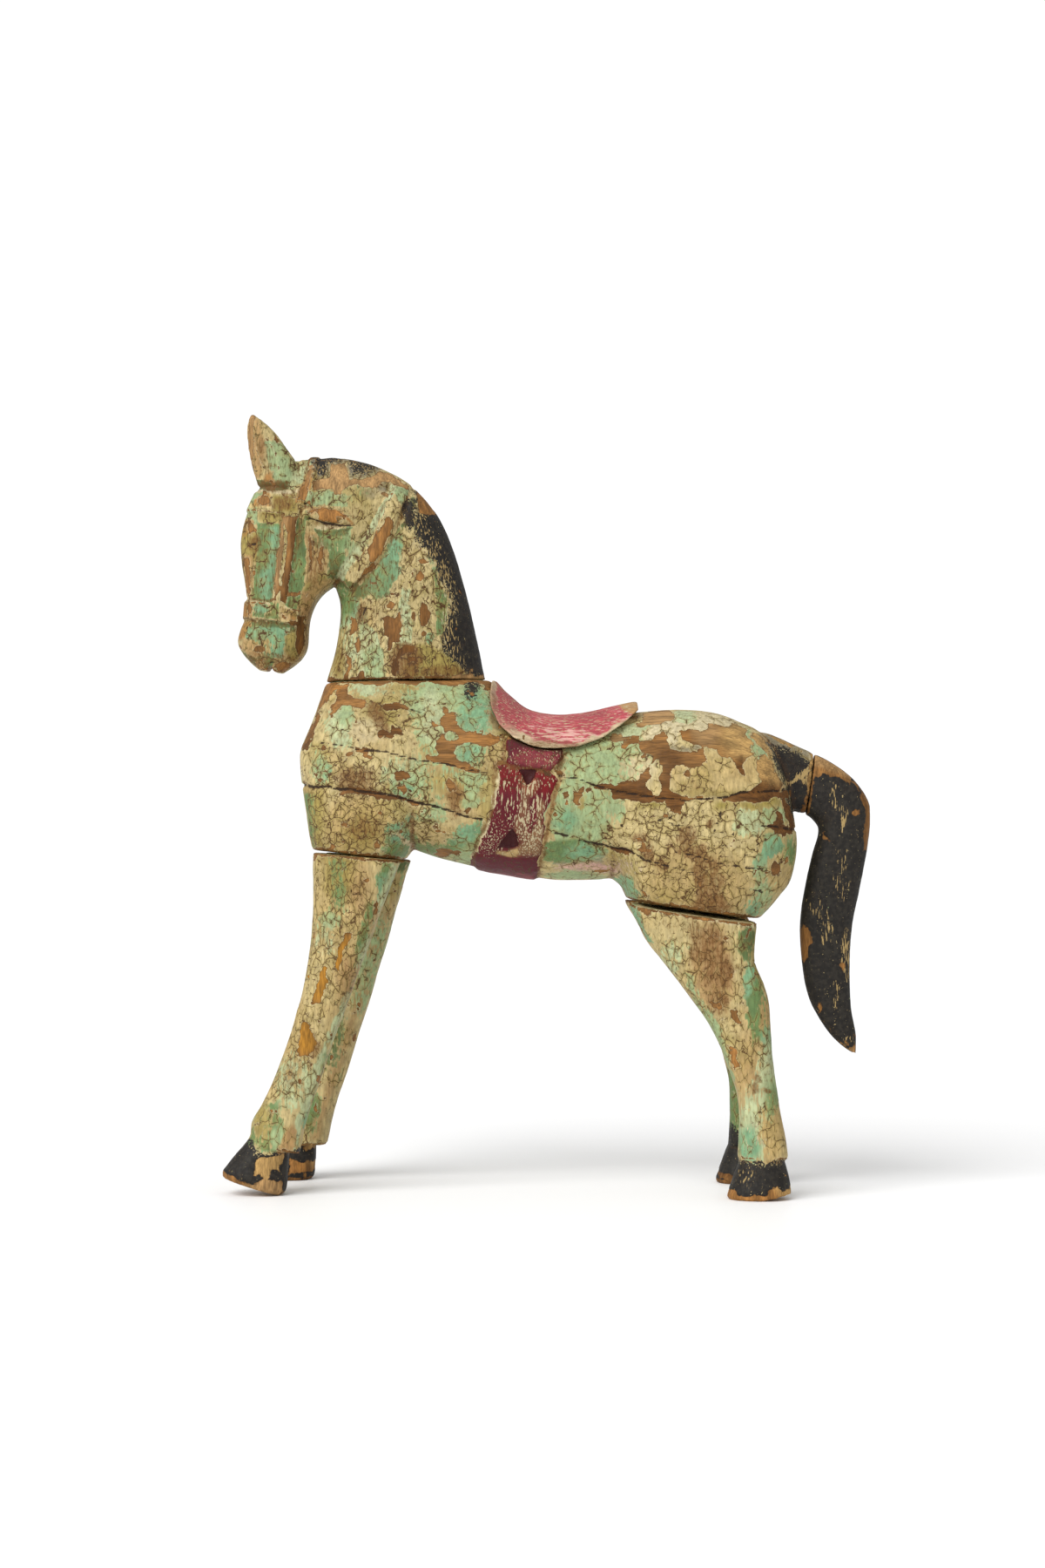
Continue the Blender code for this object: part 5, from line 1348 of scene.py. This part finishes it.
# Where a layer starts and where it is whole, in mm past its edge
BARE_EDGE = (-0.12, 0.12)
LIP_HIGHLIGHT_EDGE = (-1.0, -0.2)
SHADOW_EDGE = (0.1, 1.0)
INK_EDGE = (-0.2, 0.5)
DYE_EDGE = (-0.15, 0.15)
GAP_EDGE = (-0.2, 0.35)
# Tones that the brush strokes, broad patches, flakes, fibres and rings multiply the colour by
STROKE_TONES = (0.80, 1.15)
BROAD_TONES = (0.92, 1.06)
FLAKE_TONES = (0.95, 1.05)
FIBRE_TONES = (0.66, 1.18)
RING_TONES = (0.64, 1.14)
# How strongly each layer covers what is below it
COAT_COVER = 0.9
HALO_COVER = 0.8
LIP_HIGHLIGHT_COVER = 0.35
SHADOW_COVER = 0.65
RUB_COVER = 0.85
WASH_COVER = 0.68
SPECK_COVER = 0.55
GAP_COVER = 0.94
# How much of the dirt is lost in black paint, and how much of the black is lost in its chips
DIRT_LOST = 0.85
BLACK_LOST = 0.8
# Roughness from the smoothest strokes to the dullest, and how much duller bare wood is
ROUGHNESS = (0.54, 0.68)
BARE_ROUGHNESS = 0.08
# Heights of the bump, in mm
COAT_BUMP = 0.35
CRACK_BUMP = 0.30
GAP_BUMP = 0.5
DENT_BUMP = 0.25
FIBRE_BUMP = 0.05
BARE_FIBRE_BUMP = 0.25
# How strongly the bump shows, and how glossy the paint is
BUMP_STRENGTH = 0.8
GLOSS = 0.2


class Value:
    """A number or colour that varies over a surface: a socket of a material's nodes, for use in formulas"""

    def __init__(self, shading, socket):
        self.shading = shading
        self.socket = socket

    def __add__(self, other):
        return self.shading.math("ADD", self, other)

    def __sub__(self, other):
        return self.shading.math("SUBTRACT", self, other)

    def __rsub__(self, other):
        return self.shading.math("SUBTRACT", other, self)

    def __mul__(self, other):
        return self.shading.math("MULTIPLY", self, other)

    __radd__ = __add__
    __rmul__ = __mul__


class Shading:
    """A material's nodes, made by short calls that return the value they end in"""

    def __init__(self, name):
        self.material = bpy.data.materials.new(name)
        self.material.use_nodes = True
        self.nodes = self.material.node_tree.nodes
        self.shader = self.nodes["Principled BSDF"]
        self.place = self.vector("SCALE", self.nodes.new("ShaderNodeTexCoord").outputs["Object"], MM)

    def feed(self, socket, value):
        if isinstance(value, Value):
            value = value.socket
        if isinstance(value, bpy.types.NodeSocket):
            self.material.node_tree.links.new(value, socket)
        elif socket.type == "RGBA":
            socket.default_value = (*value, 1.0)
        else:
            socket.default_value = value

    def node(self, kind, settings, inputs, output):
        """A node of that kind with its settings and inputs, as the value of one of its outputs"""
        node = self.nodes.new("ShaderNode" + kind)
        for name, setting in settings.items():
            setattr(node, name, setting)
        for name, value in inputs.items():
            self.feed(node.inputs[name], value)
        return Value(self, node.outputs[output])

    def math(self, operation, first, second):
        return self.node("Math", {"operation": operation}, {0: first, 1: second}, 0)

    def vector(self, operation, first, second):
        second_name = "Scale" if operation == "SCALE" else 1
        return self.node("VectorMath", {"operation": operation}, {0: first, second_name: second}, 0)

    def step(self, value, span, start=0.0, end=1.0):
        """From start to end, eased, while the value goes over the span"""
        inputs = {"Value": value, "From Min": span[0], "From Max": span[1], "To Min": start, "To Max": end}
        return self.node("MapRange", {"interpolation_type": "SMOOTHSTEP"}, inputs, "Result")

    def mix(self, share, first, second, blend="MIX"):
        settings = {"data_type": "RGBA", "blend_type": blend}
        return self.node("Mix", settings, {0: share, 6: first, 7: second}, 2)

    def shaded(self, colour, tone):
        return self.mix(1.0, colour, tone, "MULTIPLY")

    def field(self, name, output="Fac"):
        return self.node("Attribute", {"attribute_name": name}, {}, output)

    def noise(self, place, layers, output="Fac"):
        size, detail = layers
        return self.node("TexNoise", {}, {"Vector": place, "Scale": 1.0 / size, "Detail": detail}, output)

    def cracks(self, place, size):
        """The distance in mm to the nearest edge of a net of cells, and a number for each cell"""
        inputs = {"Vector": place, "Scale": 1.0 / size}
        distance = self.node("TexVoronoi", {"feature": "DISTANCE_TO_EDGE"}, inputs, "Distance")
        cell = self.node("TexVoronoi", {"feature": "F1"}, inputs, "Color")
        return distance * size, self.node("SeparateColor", {}, {0: cell}, "Red")


class PaintedWood(Shading):
    """Old paint on carved wood. grain, streak and cell squeeze the place along the fibres, strokes and
    cracks, crackle and grime are how much of them shows, and tear is how far strokes break the black's edge,
    in mm"""

    def __init__(self, name, grain, streak, cell, crackle, grime, tear):
        super().__init__(name)
        self.stain = self.field("stain")
        self.crazed = self.field("crazed")
        self.fine = self.noise(self.place, FINE)
        self.middle = self.noise(self.place, MIDDLE)
        self.broad = self.noise(self.place, BROAD)
        along_strokes = self.vector("MULTIPLY", self.place, streak)
        self.strokes = self.noise(along_strokes, STROKES)
        self.lines = self.noise(along_strokes, LINES)
        along_grain = self.vector("MULTIPLY", self.place, grain)
        self.fibres = self.noise(along_grain, FIBRES)
        self.rings = self.noise(along_grain, RINGS)
        self.find_bare(self.field("bare"), self.field("scratch"))
        self.find_black(self.field("black"), tear)
        self.find_cracks(cell, crackle)
        self.gap = self.step(self.field("seam") + (2.4 * self.middle - 1.3), GAP_EDGE)
        self.dyed = self.step(self.field("dyed") + (1.6 * self.fine - 0.8), DYE_EDGE)
        colour = self.soiled(self.coats(), grime)
        colour = self.mix(self.bare, colour, self.wood())
        colour = self.mix(GAP_COVER * self.gap, colour, self.mix(self.dyed, linear("gap"), linear("notch")))
        self.feed(self.shader.inputs["Base Color"], colour)
        rough = self.step(self.strokes, (0.35, 0.65), *ROUGHNESS) + BARE_ROUGHNESS * self.bare
        self.feed(self.shader.inputs["Roughness"], rough)
        self.shader.inputs["Specular IOR Level"].default_value = GLOSS
        self.feed(self.shader.inputs["Normal"], self.relief())

    def find_bare(self, bare, scratch):
        """Where the paint is gone: the named patches, with ragged edges, and lengthwise scratches"""
        self.ragged = (1.6 * self.fine - 0.8) + (4.4 * self.middle - 2.2)
        self.edge = bare + self.ragged
        self.bare = self.step(self.edge, BARE_EDGE)
        self.painted = 1.0 - self.bare
        self.rubbed = self.step(self.lines + 0.085 * scratch, (0.61, 0.64)) * self.step(scratch, (0.02, 0.12))

    def find_black(self, black, tear):
        """Black paint with a torn edge and small chips, fewer of them far inside"""
        torn = 1.2 * self.ragged + tear * (2.0 * self.strokes - 1.0)
        inside = self.step(black + (16.0 * self.broad - 8.0), (0.5, 8.0), 0.0, 0.16)
        chips = self.step(self.fine + 0.5 * self.strokes - inside, (0.80, 0.86))
        self.inked = self.step(black + torn, INK_EDGE) * (1.0 - BLACK_LOST * chips)
        self.light = 1.0 - DIRT_LOST * self.inked

    def find_cracks(self, cell, crackle):
        """Cracks in the paint: a wide broken net, and a fine one in the crazed places"""
        bend = self.vector("SCALE", self.noise(self.place, BEND, "Color"), BEND_FAR)
        bent = self.vector("ADD", self.vector("MULTIPLY", self.place, cell), bend)
        self.wide, self.flake = self.cracks(bent, WIDE_NET)
        self.narrow, crumb = self.cracks(bent, NARROW_NET)
        uneven = 0.16 * self.flake + 0.5 * self.middle - 0.33
        drawn = self.step(self.broad + uneven + 0.20 * self.crazed, (0.46, 0.72))
        wide_line = self.step(self.wide, (0.16 * drawn - 0.10, 0.60 * drawn - 0.03), 1.0, 0.0)
        patchy = 0.22 * crumb + 0.9 * self.middle
        meshed = self.step(patchy + 0.36 * self.crazed, (0.74, 1.06))
        narrow_line = self.step(self.narrow, (0.14 * meshed - 0.10, 0.58 * meshed - 0.04), 1.0, 0.0)
        self.crack = self.math("MAXIMUM", wide_line, narrow_line) * crackle * self.painted
        self.beside_wide = self.step(self.wide, (0.0, 3.2), 0.6, 0.0) * drawn * crackle

    def coats(self):
        """A thin coat over the ground colour, in brush strokes, then black, dye and scratches"""
        thick = self.field("cover") + (1.5 * self.strokes - 0.75) + (0.9 * self.middle - 0.45)
        coated = COAT_COVER * self.step(thick, (0.34, 0.66))
        colour = self.mix(coated, self.field("ground", "Color"), self.field("coat", "Color"))
        tone = self.step(self.strokes, (0.3, 0.7), *STROKE_TONES)
        tone = tone * self.step(self.broad, (0.3, 0.7), *BROAD_TONES)
        tone = tone * self.step(self.flake, (0.0, 1.0), *FLAKE_TONES)
        colour = self.shaded(colour, tone)
        halo = self.beside_wide + self.step(self.middle, (0.48, 0.66)) * (0.22 * self.crazed)
        colour = self.mix(self.math("MINIMUM", halo, HALO_COVER), colour, linear("halo"))
        # A pale rim along the paint's broken edge: the coat's own edge with a painted highlight on it
        colour = self.mix(self.step(self.edge, LIP_HIGHLIGHT_EDGE, 0.0, LIP_HIGHLIGHT_COVER), colour, linear("pale"))
        ink = self.mix(self.step(self.middle, (0.4, 0.65)), linear("black"), linear("soft_black"))
        colour = self.mix(self.inked, colour, ink)
        colour = self.mix(self.dyed, colour, self.shaded(self.field("dye", "Color"), tone))
        below = self.mix(self.inked, linear("pale"), linear("beige"))
        return self.mix(RUB_COVER * self.rubbed, colour, below)

    def soiled(self, colour, grime):
        """Old dirt in the brush strokes, more beside the cracks, dirt and painted shade in the hollows, and
        dirt in the cracks
        """
        film = self.step(self.lines, (0.46, 0.66)) * self.step(self.middle, (0.36, 0.62), 0.25, 1.0)
        colour = self.mix(film * self.light * grime, colour, linear("grime"))
        smear = 0.5 * self.strokes + 0.35 * self.lines + 0.15 * self.middle
        wash = self.step(0.22 * self.stain + smear, (0.45, 0.73), 0.0, WASH_COVER)
        colour = self.mix(wash * self.step(self.stain, (0.05, 0.6)) * self.light, colour, linear("stain"))
        speckle = 0.4 * self.fine + 0.3 * self.lines + 0.3 * self.middle
        beside = self.step(self.narrow, (0.0, 1.4), 0.08, 0.0)
        specks = self.step(speckle + beside + 0.15 * self.stain, (0.60, 0.76))
        specks = SPECK_COVER * specks * self.step(self.stain, (0.0, 0.35)) * self.light
        colour = self.mix(specks, colour, linear("stain"))
        return self.mix(self.crack * self.light, colour, linear("crack"))

    def wood(self):
        """Bare wood with its fibres and rings, darker under the broken edge of the paint"""
        along = self.step(self.fibres, (0.3, 0.7), *FIBRE_TONES)
        across = self.step(self.rings, (0.32, 0.66), *RING_TONES)
        wood = self.shaded(self.field("wood", "Color"), along * across)
        return self.mix(self.step(self.edge, SHADOW_EDGE, SHADOW_COVER, 0.0), wood, linear("crack"))

    def relief(self):
        """The coat's thickness, its cracks, and the fibres where it is bare, as a bump"""
        fibres = self.fibres * (BARE_FIBRE_BUMP * self.bare + FIBRE_BUMP)
        coat = COAT_BUMP * self.painted - CRACK_BUMP * self.crack - GAP_BUMP * self.gap
        height = coat + fibres + DENT_BUMP * self.middle
        inputs = {"Height": height, "Strength": BUMP_STRENGTH, "Distance": 1.0 / MM}
        return self.node("Bump", {}, inputs, "Normal")


# The piece of each node, dressed

ALONG_X = (0.10, 1.0, 1.0)
UPRIGHT = (1.0, 1.0, 0.14)
EVEN = (1.0, 1.0, 1.0)
TALL = (1.0, 1.0, 0.65)
LONG = (1.4, 1.4, 0.8)
# Each paint's squeezes along the grain, the strokes and the cracks, and its crackle, grime and tear
PAINTS = {
    "body_paint": (ALONG_X, (1.0, 1.0, 0.18), EVEN, 1.0, 0.25, 8.0),
    "head_paint": (UPRIGHT, (1.0, 1.0, 0.20), TALL, 1.0, 0.75, 8.0),
    "leg_paint": (UPRIGHT, (1.0, 1.0, 0.18), LONG, 0.9, 0.3, 2.5),
    "tail_paint": (UPRIGHT, (1.0, 1.0, 0.16), EVEN, 0.4, 0.2, 8.0),
    "saddle_paint": (ALONG_X, (0.16, 1.0, 1.0), EVEN, 0.1, 0.15, 8.0),
}
MATERIALS = {name: PaintedWood(name, *values).material for name, values in PAINTS.items()}
for node in NODES:
    piece = make_piece(node)
    weather(piece, node)
    piece.data.materials.append(MATERIALS[SLOTS[node]])
    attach(piece, "root")
    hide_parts(node)


# Camera, light and floor

# The sun is the softbox, wide enough for soft shadows, and stands to the upper left, in front
SKY_STRENGTH = 0.62
BACKDROP_STRENGTH = 1.05
SOFTBOX_STRENGTH = 2.7
SOFTBOX_SPREAD = 45.0
SOFTBOX_SIDE = (-0.45, -0.62, 0.65)
FLOOR_HALF = 20.0
FLOOR_ROUGHNESS = 0.5
WHITE = (1.0, 1.0, 1.0, 1.0)


def add_object(name, data):
    item = bpy.data.objects.new(name, data)
    bpy.context.scene.collection.objects.link(item)
    return item


def make_camera():
    camera = add_object("camera", bpy.data.cameras.new("camera"))
    camera.data.sensor_width = SENSOR
    camera.data.lens = LENS
    pitch = Matrix.Rotation(math.radians(90 + CAMERA_PITCH), 4, "X")
    roll = Matrix.Rotation(math.radians(CAMERA_ROLL), 4, "Z")
    camera.matrix_world = Matrix.Translation(CAMERA) @ pitch @ roll
    bpy.context.scene.camera = camera


def make_backdrop():
    """A world that shows pure white and lights the horse less than that"""
    world = bpy.data.worlds.new("world")
    world.use_nodes = True
    tree = world.node_tree
    background = tree.nodes["Background"]
    background.inputs["Color"].default_value = WHITE
    rays = tree.nodes.new("ShaderNodeLightPath")
    brightness = tree.nodes.new("ShaderNodeMapRange")
    brightness.inputs["To Min"].default_value = SKY_STRENGTH
    brightness.inputs["To Max"].default_value = BACKDROP_STRENGTH
    tree.links.new(rays.outputs["Is Camera Ray"], brightness.inputs["Value"])
    tree.links.new(brightness.outputs["Result"], background.inputs["Strength"])
    bpy.context.scene.world = world
    bpy.context.scene.view_settings.view_transform = "Standard"


def make_softbox():
    softbox = add_object("softbox", bpy.data.lights.new("softbox", "SUN"))
    softbox.data.energy = SOFTBOX_STRENGTH
    softbox.data.angle = math.radians(SOFTBOX_SPREAD)
    softbox.rotation_euler = (-Vector(SOFTBOX_SIDE)).to_track_quat("-Z", "Y").to_euler()


def make_floor():
    corners = [(x * FLOOR_HALF, y * FLOOR_HALF, 0.0) for x, y in ((-1, -1), (1, -1), (1, 1), (-1, 1))]
    mesh = bpy.data.meshes.new("floor")
    mesh.from_pydata(corners, [], [(0, 1, 2, 3)])
    paint = bpy.data.materials.new("floor_paint")
    paint.use_nodes = True
    shader = paint.node_tree.nodes["Principled BSDF"]
    shader.inputs["Base Color"].default_value = WHITE
    shader.inputs["Roughness"].default_value = FLOOR_ROUGHNESS
    mesh.materials.append(paint)
    add_object("floor", mesh)


make_camera()
make_backdrop()
make_softbox()
make_floor()
